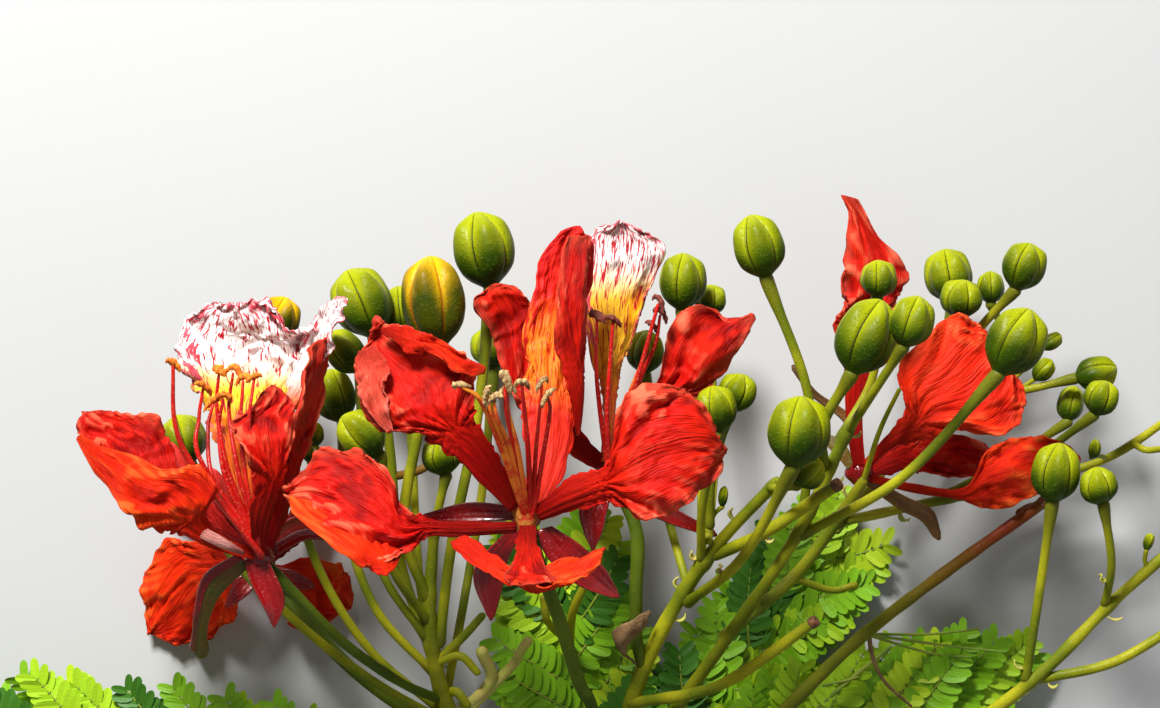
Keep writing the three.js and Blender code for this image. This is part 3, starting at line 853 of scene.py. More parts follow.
@dataclass(frozen=True)
class LeafletFinish:
    """The plain green of a spray of leaflets."""

    name: str
    body: Colour
    gloss: float = 0.28
    depth_mm: float = 0.12

    def make(self) -> Material:
        """The finished material."""
        paint = Surface(self.name, self.gloss)
        grain = paint.noise(paint.coordinates("Object"), 1800.0, 2.0)
        return paint.dress(self.body, paint.weighted((grain, 0.3), start=0.34), grain, self.depth_mm)


@dataclass(frozen=True)
class BarkFinish:
    """Grey-brown young bark, pale where it is raised, with a green cast in blotches."""

    name: str
    low: Colour = (0.13, 0.1, 0.06)
    high: Colour = (0.42, 0.36, 0.27)
    green: Colour = (0.2, 0.22, 0.09)
    gloss: float = 0.25
    depth_mm: float = 0.5

    def make(self) -> Material:
        """The finished material."""
        paint = Surface(self.name, self.gloss)
        blotch, speck = paint.skin(160.0, 700.0)
        grain = paint.noise(paint.stretched(paint.coordinates("Object"), (1.0, 0.22, 1.0)), 650.0, 6.0)
        colour = paint.mix(paint.ramp(grain, 0.35, 0.65), self.low, self.high)
        colour = paint.mix(paint.times(blotch, 0.45), colour, self.green)
        colour = paint.mix(paint.times(speck, 0.4), colour, self.high)
        return paint.dress(colour, paint.weighted((grain, 0.25), start=0.7), grain, self.depth_mm)


@dataclass(frozen=True)
class CutWoodFinish:
    """Fresh pale wood across the grain, with darker mottling and fine dark specks."""

    name: str
    pale: Colour = (0.72, 0.6, 0.4)
    dark: Colour = (0.5, 0.36, 0.2)
    gloss: float = 0.2
    depth_mm: float = 0.2

    def make(self) -> Material:
        """The finished material."""
        paint = Surface(self.name, self.gloss)
        _, speck = paint.skin(500.0, 2600.0)
        rings = paint.noise(paint.coordinates("Object"), 900.0, 5.0)
        colour = paint.mix(paint.ramp(rings, 0.4, 0.62), self.pale, self.dark)
        colour = paint.mix(paint.times(speck, 0.6), colour, self.dark)
        return paint.dress(colour, paint.weighted((rings, 0.2), start=0.65), rings, self.depth_mm)


FINISHES = (
    RedPetalFinish("petal_scarlet"),
    RedPetalFinish(
        "petal_warm", (0.42, 0.003, 0.001), (0.72, 0.014, 0.002), (0.84, 0.035, 0.003), (0.95, 0.12, 0.03)),
    # petal_glowing is the red lightened as painted backlight glow.
    RedPetalFinish(
        "petal_glowing", (0.52, 0.006, 0.001), (0.8, 0.018, 0.001), (0.88, 0.042, 0.002),
        (0.95, 0.13, 0.016)),
    # petal_shaded is the red darkened as painted shade, for petals that lie in shadow.
    RedPetalFinish(
        "petal_shaded", (0.16, 0.001, 0.001), (0.34, 0.004, 0.002), (0.46, 0.012, 0.004), (0.62, 0.05, 0.04)),
    RedPetalFinish(
        "petal_folded", (0.56, 0.014, 0.008), (0.78, 0.06, 0.03), (0.86, 0.14, 0.08), (0.95, 0.32, 0.24)),
    RedPetalFinish(
        "petal_blush", (0.5, 0.01, 0.008), (0.86, 0.3, 0.24), (0.9, 0.5, 0.42), (0.95, 0.68, 0.6)),
    FlagFinish("flag_white"),
    FlagFinish("flag_wing", top_from=0.22),
    FlagFinish("flag_far", top_from=0.74, streak_share=0.95),
    FlagFinish(
        "flag_orange", (0.74, 0.014, 0.004), (0.95, 0.2, 0.008), (0.72, 0.02, 0.004), (0.5, 0.004, 0.006),
        (0.56, 0.006, 0.006), 0.66, 0.9),
    SkinFinish(
        "sepal_crimson", (0.13, 0.001, 0.002), (0.25, 0.002, 0.003), (0.32, 0.006, 0.006), 0.2, 0.04,
        grain=0.2, gloss=0.6),
    SkinFinish("sepal_green", (0.06, 0.075, 0.006), (0.15, 0.06, 0.008), (0.24, 0.16, 0.03), 0.34, grain=0.3),
    SkinFinish("sepal_browned", (0.11, 0.02, 0.005), (0.17, 0.07, 0.01), (0.3, 0.17, 0.03), 0.34, grain=0.4),
    SkinFinish(
        "cup_orange", (0.42, 0.02, 0.006), (0.4, 0.15, 0.02), (0.6, 0.28, 0.08), 0.45, 0.3, 320.0, 900.0,
        gloss=0.15),
    # The buds' crown colours are partly painted light on their tops.
    SkinFinish(
        "bud_green", (0.02, 0.046, 0.001), (0.034, 0.07, 0.001), (0.1, 0.14, 0.003), 0.36,
        seams=(0.008, 0.014, 0.001), crown=(0.35, 0.38, 0.003), gloss=0.1),
    SkinFinish(
        "bud_ripe", (0.025, 0.04, 0.001), (0.05, 0.06, 0.001), (0.14, 0.12, 0.004), 0.36,
        seams=(0.3, 0.08, 0.004), crown=(0.8, 0.44, 0.003), crown_from=0.56, gloss=0.1),
    SkinFinish(
        "stalk_green", (0.11, 0.15, 0.003), (0.38, 0.36, 0.008), (0.36, 0.32, 0.03), 0.4, 0.1, 45.0, 2200.0,
        browned=(0.05, 0.062, 0.004), gloss=0.14),
    SkinFinish(
        "stalk_dark", (0.045, 0.08, 0.003), (0.09, 0.13, 0.005), (0.2, 0.2, 0.02), 0.4, 0.1, 45.0, 2200.0,
        browned=(0.06, 0.04, 0.008), gloss=0.14),
    SkinFinish(
        "stalk_bronzed", (0.1, 0.12, 0.004), (0.22, 0.2, 0.008), (0.3, 0.22, 0.03), 0.38, 0.1, 45.0, 2200.0,
        browned=(0.19, 0.02, 0.005), gloss=0.14),
    SkinFinish(
        "dry_brown", (0.16, 0.08, 0.03), (0.26, 0.15, 0.06), (0.4, 0.26, 0.12), 0.7, 0.2, 200.0, 1600.0),
    SkinFinish(
        "scar_brown", (0.1, 0.03, 0.012), (0.2, 0.08, 0.03), (0.4, 0.26, 0.12), 0.6, 0.25, 700.0, 2400.0),
    SkinFinish(
        "bract_pale", (0.42, 0.44, 0.07), (0.52, 0.42, 0.1), (0.5, 0.3, 0.1), 0.4, 0.08, 300.0, 1800.0),
    SkinFinish("filament_red", (0.4, 0.004, 0.004), (0.62, 0.012, 0.006), (0.7, 0.1, 0.03), 0.3),
    SkinFinish(
        "filament_pale", (0.6, 0.014, 0.005), (0.82, 0.26, 0.02), (0.88, 0.42, 0.06), 0.32, 0.1, 190.0),
    SkinFinish(
        "anther_orange", (0.9, 0.27, 0.008), (0.72, 0.12, 0.008), (0.95, 0.45, 0.04), 0.6, 0.3,
        900.0, 2500.0),
    SkinFinish(
        "anther_cream", (0.66, 0.44, 0.17), (0.2, 0.08, 0.02), (0.86, 0.7, 0.4), 0.6, 0.3,
        900.0, 2500.0),
    SkinFinish(
        "anther_brown", (0.13, 0.012, 0.01), (0.22, 0.04, 0.02), (0.4, 0.2, 0.1), 0.6, 0.3,
        900.0, 2500.0),
    LeafletFinish("leaflet_green_0", (0.2, 0.44, 0.008)),
    LeafletFinish("leaflet_green_1", (0.35, 0.58, 0.012)),
    LeafletFinish("leaflet_green_2", (0.04, 0.15, 0.006)),
    LeafletFinish("leaflet_green_3", (0.46, 0.64, 0.016)),
    SkinFinish("rib_green", (0.16, 0.28, 0.02), (0.27, 0.33, 0.03), (0.3, 0.22, 0.06), 0.45, 0.08),
    BarkFinish("bark_grey"),
    CutWoodFinish("cut_wood"),
)


def make_finishes() -> dict[str, Material]:
    """Makes every material of the branch once, and keeps it by its name."""
    return {finish.name: finish.make() for finish in FINISHES}


def grow(piece: Piece, tree: bpy.types.NodeTree, values: dict[str, object]) -> Piece:
    """Runs a geometry node tree on a piece and keeps only the mesh that comes out.

    Args:
        piece: the object with the tree's points or lines.
        tree: the tree to run.
        values: what its named inputs are set to.

    Returns:
        The same object with the grown mesh.
    """
    modifier = piece.modifiers.new("grow", "NODES")
    modifier.node_group = tree
    for item in tree.interface.items_tree:
        if item.in_out == "INPUT" and item.name in values:
            modifier[item.identifier] = values[item.name]
    graph = bpy.context.evaluated_depsgraph_get()
    grown = bpy.data.meshes.new_from_object(piece.evaluated_get(graph), depsgraph=graph)
    piece.modifiers.remove(modifier)
    start = piece.data
    piece.data = grown
    bpy.data.meshes.remove(start)
    grown.name = piece.name
    grown.polygons.foreach_set("use_smooth", [True] * len(grown.polygons))
    return piece


def growing_tree(name: str, inputs: dict[str, str]) -> tuple:
    """Starts a geometry node tree with named inputs after its geometry.

    Args:
        name: the tree's name.
        inputs: the socket type of each named input.

    Returns:
        A helper for its nodes, its input node and its output node.
    """
    geometry = {"Geometry": "NodeSocketGeometry"}
    return new_group(name, "GeometryNodeTree", geometry | inputs, geometry)


def dressed(helper: Shader, shape: Socket, material: Socket) -> Socket:
    """Makes a tree's instances real and gives them their material."""
    real = helper.add("GeometryNodeRealizeInstances", {"Geometry": shape})
    finish = {"Geometry": real.outputs["Geometry"], "Material": material}
    return helper.add("GeometryNodeSetMaterial", finish).outputs["Geometry"]


def kept(helper: Shader, name: str, kind: str = "FLOAT") -> Socket:
    """Reads what the points of a mesh keep under a name."""
    node = helper.add("GeometryNodeInputNamedAttribute", {"Name": name}, data_type=kind)
    return node.outputs["Attribute"]


class TubeGrower:
    """Grows round stalks along their courses, with geometry nodes."""

    DOME = ((0.95, 0.3), (0.7, 0.72), (0.35, 0.93))

    def __init__(self) -> None:
        """Builds the tree once."""
        helper, entry, leave = growing_tree(
            "tubes_along_lines", {"Sides": "NodeSocketInt", "Material": "NodeSocketMaterial"})
        self.tree = helper.tree
        curve = helper.add("GeometryNodeMeshToCurve", {"Mesh": entry.outputs["Geometry"]})
        sides = entry.outputs["Sides"]
        ring = helper.add("GeometryNodeCurvePrimitiveCircle", {"Resolution": sides, "Radius": MM})
        tubes = helper.add("GeometryNodeCurveToMesh", {
            "Curve": curve.outputs["Curve"], "Profile Curve": ring.outputs["Curve"],
            "Scale": kept(helper, "radius_mm"), "Fill Caps": True})
        helper.fill(leave, {"Geometry": dressed(helper, tubes.outputs["Mesh"], entry.outputs["Material"])})

    def build(self, name: str, courses: Sequence[Course], sides: int, material: Material) -> Piece:
        """Grows one piece from one or more courses, each rounded off at both ends.

        Args:
            name: the piece's name.
            courses: the middle lines with their radii.
            sides: how many corners go round.
            material: the finish.

        Returns:
            The grown piece.
        """
        points, radii, edges, browned = [], [], [], []
        for course in courses:
            line, reach = self._rounded(course)
            marks = np.broadcast_to(course.browned, len(course.points))
            browned.extend(np.pad(marks, len(self.DOME), mode="edge"))
            start = len(points)
            edges.extend([start + k, start + k + 1] for k in range(len(line) - 1))
            points.extend(line)
            radii.extend(reach)
        mesh = bpy.data.meshes.new(name)
        mesh.from_pydata((np.array(points) * MM).tolist(), edges, [])
        store(mesh, "radius_mm", radii)
        store(mesh, "browned", browned)
        return grow(in_scene(name, mesh), self.tree, {"Sides": sides, "Material": material})

    def _rounded(self, course: Course) -> tuple[list, list]:
        """A course's points and radii with a dome added at each end."""
        first = unit(course.points[0] - course.points[1])
        last = unit(course.points[-1] - course.points[-2])
        head = [course.points[0] + first * course.radii[0] * reach for reach, _ in self.DOME]
        tail = [course.points[-1] + last * course.radii[-1] * reach for reach, _ in self.DOME[::-1]]
        radii = [course.radii[0] * share for _, share in self.DOME]
        ends = [course.radii[-1] * share for _, share in self.DOME[::-1]]
        return [*head, *course.points, *tail], [*radii, *course.radii, *ends]


@dataclass
class Maker:
    """What every builder of pieces needs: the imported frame, the finishes and the grower of stalks."""

    model: Model
    finishes: dict[str, Material]
    tubes: TubeGrower

    def settle(self, piece: Piece, slot: Slot, finish: str, *nodes: str) -> Piece:
        """Dresses a piece and ties it to the part.

        Args:
            piece: the finished mesh object.
            slot: not used.
            finish: the name of its finish, for a piece that has none yet.
            *nodes: the CAD nodes that it stands for.

        Returns:
            The same piece.
        """
        if not piece.data.materials:
            piece.data.materials.append(self.finishes[finish])
        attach(piece, "root")
        if nodes:
            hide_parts(*nodes)
        log.info("%s: %d faces", piece.name, len(piece.data.polygons))
        return piece

    def grow_stalks(
        self, name: str, courses: Sequence[Course], sides: int, slot: Slot, finish: str, *nodes: str
    ) -> None:
        """Grows round stalks as one piece and ties it to the part.

        Args:
            name: the piece's name.
            courses: the stalks' middle lines.
            sides: how many corners go round.
            slot: the slot for its finish.
            finish: the name of its finish.
            *nodes: the CAD nodes that it stands for.
        """
        self.settle(self.tubes.build(name, courses, sides, self.finishes[finish]), slot, finish, *nodes)


@dataclass(frozen=True)
class PetalShape:
    """A petal's outline and how its blade is shaped.

    Each row holds the place of its left edge and then that of its right, from the claw to the tip.
    """

    name: str
    kind: PetalKind
    rows: tuple[tuple[float, ...], ...]
    bulge: float = 1.2
    ruffle: float = 1.7
    wrinkle: float = 1.0
    rise: float = 0.3
    pleat: float = 0.5


@dataclass(frozen=True)
class SepalShape:
    """A sepal between its left and its right edge, and which of its faces looks up."""

    left: tuple[Place, ...]
    right: tuple[Place, ...]
    inside_up: bool = True
    dry: bool = False


@dataclass(frozen=True)
class Stamen:
    """A filament's course from the cup, and whether it is red or pale."""

    course: tuple[Place, ...]
    pale: bool = False
    radius: float = 0.5


@dataclass(frozen=True)
class BloomShape:
    """Everything that one bloom is made of."""

    node: str
    cup: Place
    petals: tuple[PetalShape, ...]
    sepals: tuple[SepalShape, ...]
    stamens: tuple[Stamen, ...]
    stalk: tuple[Place, ...] = ()
    stalk_radius: float = 1.7
    anthers: AntherAge = AntherAge.OPEN
    hub: tuple[Place, Place] | None = None


class Blade:
    """A grid surface between two edges, with its directions and a thickness."""

    def __init__(self, left: np.ndarray, right: np.ndarray, across: int, along: int) -> None:
        """Lays the grid.

        Args:
            left: the left edge in mm, from the foot to the tip.
            right: the right edge.
            across: how many columns the grid has.
            along: how many rows.
        """
        self.u, self.v = np.meshgrid(np.linspace(0, 1, across), np.linspace(0, 1, along))
        start = spline(left, self.v[:, 0])[:, None]
        end = spline(right, self.v[:, 0])[:, None]
        self.surface = start + (end - start) * self.u[..., None]
        self.width = np.linalg.norm(end - start, axis=-1)
        self.length = steps_along(self.surface[:, across // 2]).sum()
        self.refresh()

    def refresh(self) -> None:
        """Works out the surface's directions again, with its normal towards the viewer."""
        ahead = np.gradient(self.surface, axis=0)
        aside = np.gradient(self.surface, axis=1)
        self.normal = unit(np.cross(aside, ahead))
        if self.normal[..., 2].mean() < 0:
            self.normal = -self.normal
        self.ahead = unit(ahead)

    def lift(self, height: np.ndarray) -> None:
        """Moves each point along the surface's normal by its height in mm."""
        self.surface = self.surface + self.normal * height[..., None]

    def fray(self, amount: np.ndarray) -> None:
        """Moves the margins in and out within the blade by an amount in mm."""
        side = 2 * self.u - 1
        aside = unit(np.gradient(self.surface, axis=1))
        self.surface = self.surface + aside * (np.sign(side) * np.abs(side) ** 5 * amount)[..., None]
        self.surface = self.surface + self.ahead * (smooth(0.86, 1.0, self.v) * amount)[..., None]

    def round_tip(self, rise: float) -> None:
        """Pushes the middle of the tip outwards, so that the blade ends in a curve."""
        reach = self.width[-1] * rise * (1 - (2 * self.u - 1) ** 2) * smooth(0.75, 1.0, self.v)
        self.surface = self.surface + self.ahead * reach[..., None]

    def solid(self, name: str, thickness: float, crest: np.ndarray | None = None) -> Piece:
        """The blade as a thin closed mesh, with u across and v along.

        Args:
            name: the piece's name.
            thickness: in mm.
            crest: how far up a crumple each point is, from 0 to 1.

        Returns:
            The piece.
        """
        self.refresh()
        uv = np.column_stack([self.u.ravel(), self.v.ravel()])
        both = None if crest is None else np.tile(crest.ravel(), 2)
        return new_object(name, thick_sheet(self.surface, self.normal, thickness), np.vstack([uv, uv]), both)


@dataclass
class Petals(Maker):
    """Builds the petals of a bloom, with sizes in mm.

    The mesh has a column for each step across and a row for each step along, within limits. A
    blade narrower than full_width is ruffled less.
    """

    thickness: float = 0.35
    step_across: float = 0.56
    step_along: float = 0.72
    fewest: int = 16
    most: int = 92
    full_width: float = 15.0
    frays: tuple[tuple[float, float], ...] = ((0.8, 1.9), (1.4, 6.0))
    warp: float = 1.5
    frill_length: float = 11.0
    frill_reach: float = 6.0
    crepe_sizes: tuple[tuple[float, float], ...] = ((9.0, 0.75), (4.6, 0.5), (2.3, 0.26))
    pleat_width: float = 2.6
    pleat_reach: float = 4.0
    grooves: int = 4
    groove_depth: float = 0.16
    grooved_width: float = 14.0

    def build(self, node: str, shape: PetalShape, rng: Draws) -> None:
        """Makes one petal.

        Args:
            node: the bloom's CAD node.
            shape: the petal's outline and form.
            rng: the bloom's random numbers.
        """
        blade = self._blade(shape)
        rim = self._rim(blade)
        fan, along = (blade.u - 0.5) * blade.width.max(), blade.v * blade.length
        widening = np.clip(blade.width / self.full_width, 0.08, 1.0)
        blade.fray(widening * sum(depth * hills(rng, rim / size, rim * 0) for depth, size in self.frays))
        blade.refresh()
        side = np.abs(2 * blade.u - 1)
        edge = np.minimum((1 - side) * blade.width / 2, (1 - blade.v) * blade.length)
        dome = (1 - side**2) * np.sin(math.pi * np.clip(blade.v * 0.85 + 0.08, 0, 1))
        blade.lift(shape.bulge * dome + widening * self.warp * hills(rng, fan / 15, along / 19))
        frill = widening * smooth(0.16, 0.5, blade.v)
        ruffles = waves(rng, rim * WHOLE_TURN / self.frill_length, 0.6, 1.5)
        blade.lift(shape.ruffle * frill * np.exp(-edge / self.frill_reach) * ruffles)
        crepe = self._crepe(fan, along, rng)
        patches = 0.4 + 0.6 * smooth(-0.35, 0.45, hills(rng, fan / 13, along / 13))
        patches = patches + 0.5 * np.exp(-edge / 5.0)
        blade.lift(shape.wrinkle * frill * patches * crepe)
        blade.refresh()
        fold = rim / self.pleat_width + 0.9 * hills(rng, rim / 8.0, edge / 5.0)
        pleats = (1 - 2 * np.abs(2 * (fold % 1.0) - 1)) * np.exp(-edge / self.pleat_reach)
        blade.lift(shape.pleat * frill * pleats)
        grooves = np.sin(blade.u * WHOLE_TURN * self.grooves + 1.5 * hills(rng, blade.v * 4, blade.u * 2))
        depth = self.groove_depth * np.clip(blade.width / self.grooved_width, 0.15, 1.0)
        blade.lift(depth * grooves * (1 - smooth(0.35, 0.7, blade.v)))
        # The crest tells the red petals' finish where to paint highlights and shade.
        crest = 0.5 + frill * (0.42 * patches * crepe + 0.4 * pleats)
        piece = blade.solid(f"{node}_petal_{shape.name}", self.thickness, np.clip(crest, 0, 1))
        self.settle(piece, Slot.BLOOM, shape.kind.value, node)

    def _blade(self, shape: PetalShape) -> Blade:
        """A petal's smooth blade, meshed as finely as its size asks."""
        left = self.model.place([row[:3] for row in shape.rows])
        right = self.model.place([row[3:] for row in shape.rows])
        width = np.linalg.norm(right - left, axis=1).max()
        length = np.linalg.norm(np.diff(left + right, axis=0) / 2, axis=1).sum()
        wanted = np.clip([width / self.step_across, length / self.step_along], self.fewest, self.most)
        blade = Blade(left, right, int(wanted[0]), int(wanted[1]))
        blade.round_tip(shape.rise)
        return blade

    @staticmethod
    def _rim(blade: Blade) -> np.ndarray:
        """How far round the blade's margin each point lies, in mm, seen from the blade's claw."""
        turn = np.arctan2((blade.u - 0.5) * blade.width, (blade.v - 0.3) * blade.length)
        return turn * (blade.width.max() + blade.length) / 3.4

    def _crepe(self, fan: np.ndarray, along: np.ndarray, rng: Draws) -> np.ndarray:
        """The height of papery folds that fan out from the claw, sharp on their crests.

        Args:
            fan: how far each point lies to the side, in mm.
            along: how far it lies from the claw, in mm.
            rng: the bloom's random numbers.

        Returns:
            Heights in mm, about as much above the blade as below it.
        """
        total = np.zeros_like(fan)
        for size, share in self.crepe_sizes:
            bend = hills(rng, along / (size * 1.3), fan / (size * 1.3))
            ridge = hills(rng, fan / size + 0.9 * bend, along / (size * 1.7) + 0.6 * bend)
            total += share * (0.8 - 2.6 * np.abs(ridge))
        return total


@dataclass
class Sepals(Maker):
    """Builds the sepals of a bloom: crimson inside, green outside. The thickness is in mm."""

    thickness: float = 0.7
    across: int = 16
    along: int = 30
    hollow: float = 0.12
    ribs: int = 3
    rib_height: float = 0.012
    tip_rise: float = 0.7

    def build(self, node: str, number: int, shape: SepalShape) -> None:
        """Makes one sepal.

        Args:
            node: the bloom's CAD node.
            number: the sepal's number in its bloom.
            shape: its edges.
        """
        blade = Blade(self.model.place(shape.left), self.model.place(shape.right), self.across, self.along)
        middle = (1 - (2 * blade.u - 1) ** 2) * np.sin(math.pi * np.clip(blade.v * 0.9 + 0.05, 0, 1))
        blade.lift((-self.hollow if shape.inside_up else self.hollow) * blade.width * middle)
        blade.lift(self.rib_height * blade.width * np.cos(blade.u * WHOLE_TURN * self.ribs))
        blade.round_tip(self.tip_rise)
        piece = blade.solid(f"{node}_sepal_{number}", self.thickness)
        sides = ("sepal_browned", "sepal_browned") if shape.dry else ("sepal_crimson", "sepal_green")
        for finish in sides if shape.inside_up else sides[::-1]:
            piece.data.materials.append(self.finishes[finish])
        facing = np.zeros(len(piece.data.polygons) * 3)
        piece.data.polygons.foreach_get("normal", facing)
        below = (facing.reshape(-1, 3)[:, 2] < 0).astype(int)
        piece.data.polygons.foreach_set("material_index", below)
        self.settle(piece, Slot.BLOOM, sides[0], node)


def close_seam(mesh: bpy.types.Mesh, period: float) -> None:
    """Carries u on past the last column of a tube, where it would jump back by a whole turn."""
    layer = mesh.uv_layers.active.data
    values = np.zeros(len(layer) * 2, np.float32)
    layer.foreach_get("uv", values)
    uv = values.reshape(-1, 2)
    starts = np.zeros(len(mesh.polygons), int)
    totals = np.zeros(len(mesh.polygons), int)
    mesh.polygons.foreach_get("loop_start", starts)
    mesh.polygons.foreach_get("loop_total", totals)
    owner = np.repeat(np.arange(len(starts)), totals)
    highest = np.maximum.reduceat(uv[:, 0], starts)
    uv[:, 0] += np.where(highest[owner] - uv[:, 0] > period / 2, period, 0)
    layer.foreach_set("uv", uv.ravel())


@dataclass
class Buds(Maker):
    """Builds every bud with its stalk, where the CAD nodes put them.

    The outline gives heights as shares of a bud's length, and radii as shares of its half width.
    """

    ripe: tuple[str, ...] = ("bud_02", "bud_09")
    rings_in_body: int = 6
    outline: tuple[tuple[float, float], ...] = (
        (0.0, 0.19), (0.03, 0.24), (0.07, 0.36), (0.14, 0.62), (0.25, 0.86), (0.4, 0.99), (0.54, 1.0),
        (0.67, 0.93), (0.78, 0.79), (0.87, 0.6), (0.935, 0.42), (0.97, 0.28), (0.99, 0.17), (1.0, 0.05))
    seams: int = 5
    seam_depth: float = 0.07
    seam_width: float = 0.05
    swell: float = 0.055
    overlap: float = 0.05
    shoulder: float = 0.15
    around: int = 100
    along: int = 34
    stalk_sides: int = 16
    small_stalk_sides: int = 12
    small_stalk_radii: tuple[float, ...] = (0.75, 0.6, 0.7)

    def small(self, name: str, places: tuple, half: float, number: int) -> None:
        """Makes a small bud that has no CAD node of its own.

        Args:
            name: its name.
            places: where its stalk starts, where the stalk meets the bud, and the bud's point.
            half: half its width in mm.
            number: what seeds its random numbers.
        """
        foot, neck, tip = places
        rng = draws(Stream.SMALL_BUD, number)
        middle = (foot + neck) / 2 + rng.uniform(-0.8, 0.8, 3)
        line = np.vstack([foot, middle, neck + (tip - neck) * 0.05])
        course = Course(line, np.array(self.small_stalk_radii)).resampled(1.2)
        self.grow_stalks(f"{name}_stalk", [course], self.small_stalk_sides, Slot.STALK, "stalk_green")
        self.settle(self._body(name, neck, tip, half, rng), Slot.BUD, "bud_green")

    def build(self) -> None:
        """Makes all the buds."""
        for number, node in enumerate(self.model.named("bud_")):
            rng = draws(number)
            course = self.model.course(node)
            neck = len(course.points) - 1 - self.rings_in_body
            stalk = Course(course.points[: neck + 1], course.radii[: neck + 1])
            stalk.points[-1] += (course.points[-1] - stalk.points[-1]) * 0.04
            fine = stalk.resampled(1.5)
            share = np.linspace(0, 1, len(fine.radii))
            swell = 1 + 0.5 * smooth(0.8, 1.0, share) + 0.2 * (1 - smooth(0.0, 0.08, share))
            fine.radii = fine.radii * swell
            fine.browned = 0.8 * (1 - smooth(0.0, 0.1, share)) + 0.8 * smooth(0.6, 1.0, share)
            self.grow_stalks(f"{node}_stalk", [fine], self.stalk_sides, Slot.STALK, "stalk_green", node)
            body = self._body(node, course.points[neck], course.points[-1], course.radii.max(), rng)
            self.settle(body, Slot.BUD, "bud_ripe" if node in self.ripe else "bud_green", node)

    def _body(self, node: str, neck: np.ndarray, tip: np.ndarray, half: float, rng: Draws) -> Piece:
        """One bud's body: five sepals that meet edge to edge.

        Args:
            node: the bud's CAD node.
            neck: where the stalk ends.
            tip: the bud's point.
            half: half its width in mm.
            rng: the bud's random numbers.

        Returns:
            The piece.
        """
        along = (1 - np.cos(np.linspace(0, math.pi, self.along))) / 2
        shares = np.array(self.outline)
        bow = rng.uniform(-0.5, 0.5, 3)
        axis = neck + (tip - neck) * along[:, None] + bow * np.sin(math.pi * along)[:, None]
        turn = turns_round(self.around) + 0.001
        count = turn * self.seams / WHOLE_TURN + rng.uniform(0, 1)
        gap = np.abs(count - np.round(count))
        groove = np.exp(-((gap / self.seam_width) ** 2)) * self.seam_depth
        fade = smooth(0.02, 0.3, along)[:, None]
        along_sepal = count % 1.0
        step = self.overlap * (along_sepal - smooth(0.94, 1.0, along_sepal) - 0.47)
        crown = 1 + 0.9 * smooth(0.5, 0.95, along)[:, None]
        lobes = 1 + (step - (groove + self.swell * np.cos(WHOLE_TURN * count)) * crown) * fade
        uneven = 1 + 0.02 * waves(rng, turn, 1, 3)
        uneven = uneven + 0.012 * hills(rng, turn * 3, along[:, None] * 5 + 0 * turn)
        profile = np.interp(along, shares[:, 0], shares[:, 1])
        profile[1:-1] = (profile[:-2] + 2 * profile[1:-1] + profile[2:]) / 4
        points, faces = tube(axis, half * profile[:, None] * lobes * uneven, self.around)
        rise = (0.5 - 0.5 * np.cos(WHOLE_TURN * count)) * np.sin(math.pi * smooth(0.55, 1.0, along))[:, None]
        points[: rise.size] += rise.reshape(-1, 1) * half * self.shoulder * unit(tip - neck)
        u = np.append(np.tile(count, self.along), [0.0, 0.0])
        v = np.append(np.repeat(along, self.around), [0.0, 1.0])
        piece = new_object(f"{node}_body", (points, faces), np.column_stack([u, v]))
        close_seam(piece.data, self.seams)
        return piece


@dataclass
class Stalks(Maker):
    """Builds the flower stalks, swollen where a bud's stalk leaves them.

    A scarred one has lost its flower, and the scar's outline is given in shares of its radius.
    """

    names: tuple[str, ...] = (
        "stalk_left", "stalk_middle", "stalk_right", "stalk_right_low", "stalk_right_back",
        "stalk_far_right", "stalk_edge", "stalk_edge_low", "stalk_bare_long", "stalk_bare_cut",
        "stalk_bare_stub")
    bronzed: str = "stalk_bare_long"
    scarred: tuple[str, ...] = ("stalk_bare_long", "stalk_bare_cut", "stalk_bare_stub")
    scar: tuple[tuple[float, float], ...] = (
        (-0.3, 0.9), (0.0, 1.1), (0.7, 1.16), (1.25, 1.06), (1.4, 0.88), (1.3, 0.6), (1.06, 0.45),
        (1.0, 0.08))
    sides: int = 20
    scar_sides: int = 24
    spacing: float = 1.2
    joint_reach: float = 2.2
    joint_swell: float = 0.3
    end_reach: float = 2.5

    def build(self) -> None:
        """Makes all the stalks."""
        feet = [self.model.course(name).points[0] for name in self.model.named("bud_")]
        for number, node in enumerate(self.names):
            rng = draws(Stream.STALK, number)
            fine = self._course(node).resampled(self.spacing)
            steps = np.arange(len(fine.radii))
            fine.browned = 0.35 * np.clip(hills(rng, steps * 0.06, steps * 0.0), 0, 1)
            for foot in feet:
                away = np.linalg.norm(fine.points - foot, axis=1)
                joint = np.exp(-((away / self.joint_reach) ** 2)) * (away.min() < 4.0)
                fine.radii = fine.radii * (1 + self.joint_swell * joint)
                fine.browned = np.maximum(fine.browned, 0.75 * joint)
            fine.radii = fine.radii * (1 + 0.05 * waves(rng, steps * 0.25, 0.5, 3))
            finish = "stalk_green"
            if node == self.bronzed:
                finish = "stalk_bronzed"
                fine.browned = smooth(0.62, 0.86, steps / len(steps))
            self.grow_stalks(f"{node}_tube", [fine], self.sides, Slot.STALK, finish, node)
            if node in self.scarred:
                profile = np.array(self.scar) * fine.radii[-1]
                knob = turned(fine.points[-1], fine.points[-1] - fine.points[-3], profile, self.scar_sides)
                self.settle(new_object(f"{node}_scar", knob), Slot.STALK, "scar_brown")

    def _course(self, node: str) -> Course:
        """A stalk's course. One with a scar ends at its farthest ring."""
        course = self.model.course(node)
        course.radii[-1] = course.radii[-2]
        if node not in self.scarred:
            return course
        end = int(np.argmax(np.linalg.norm(course.points - course.points[0], axis=1)))
        away = np.linalg.norm(course.points[:end] - course.points[end], axis=1)
        keep = np.append(np.flatnonzero(away > self.end_reach), end)
        return Course(course.points[keep], course.radii[np.minimum(keep, keep[-2])])


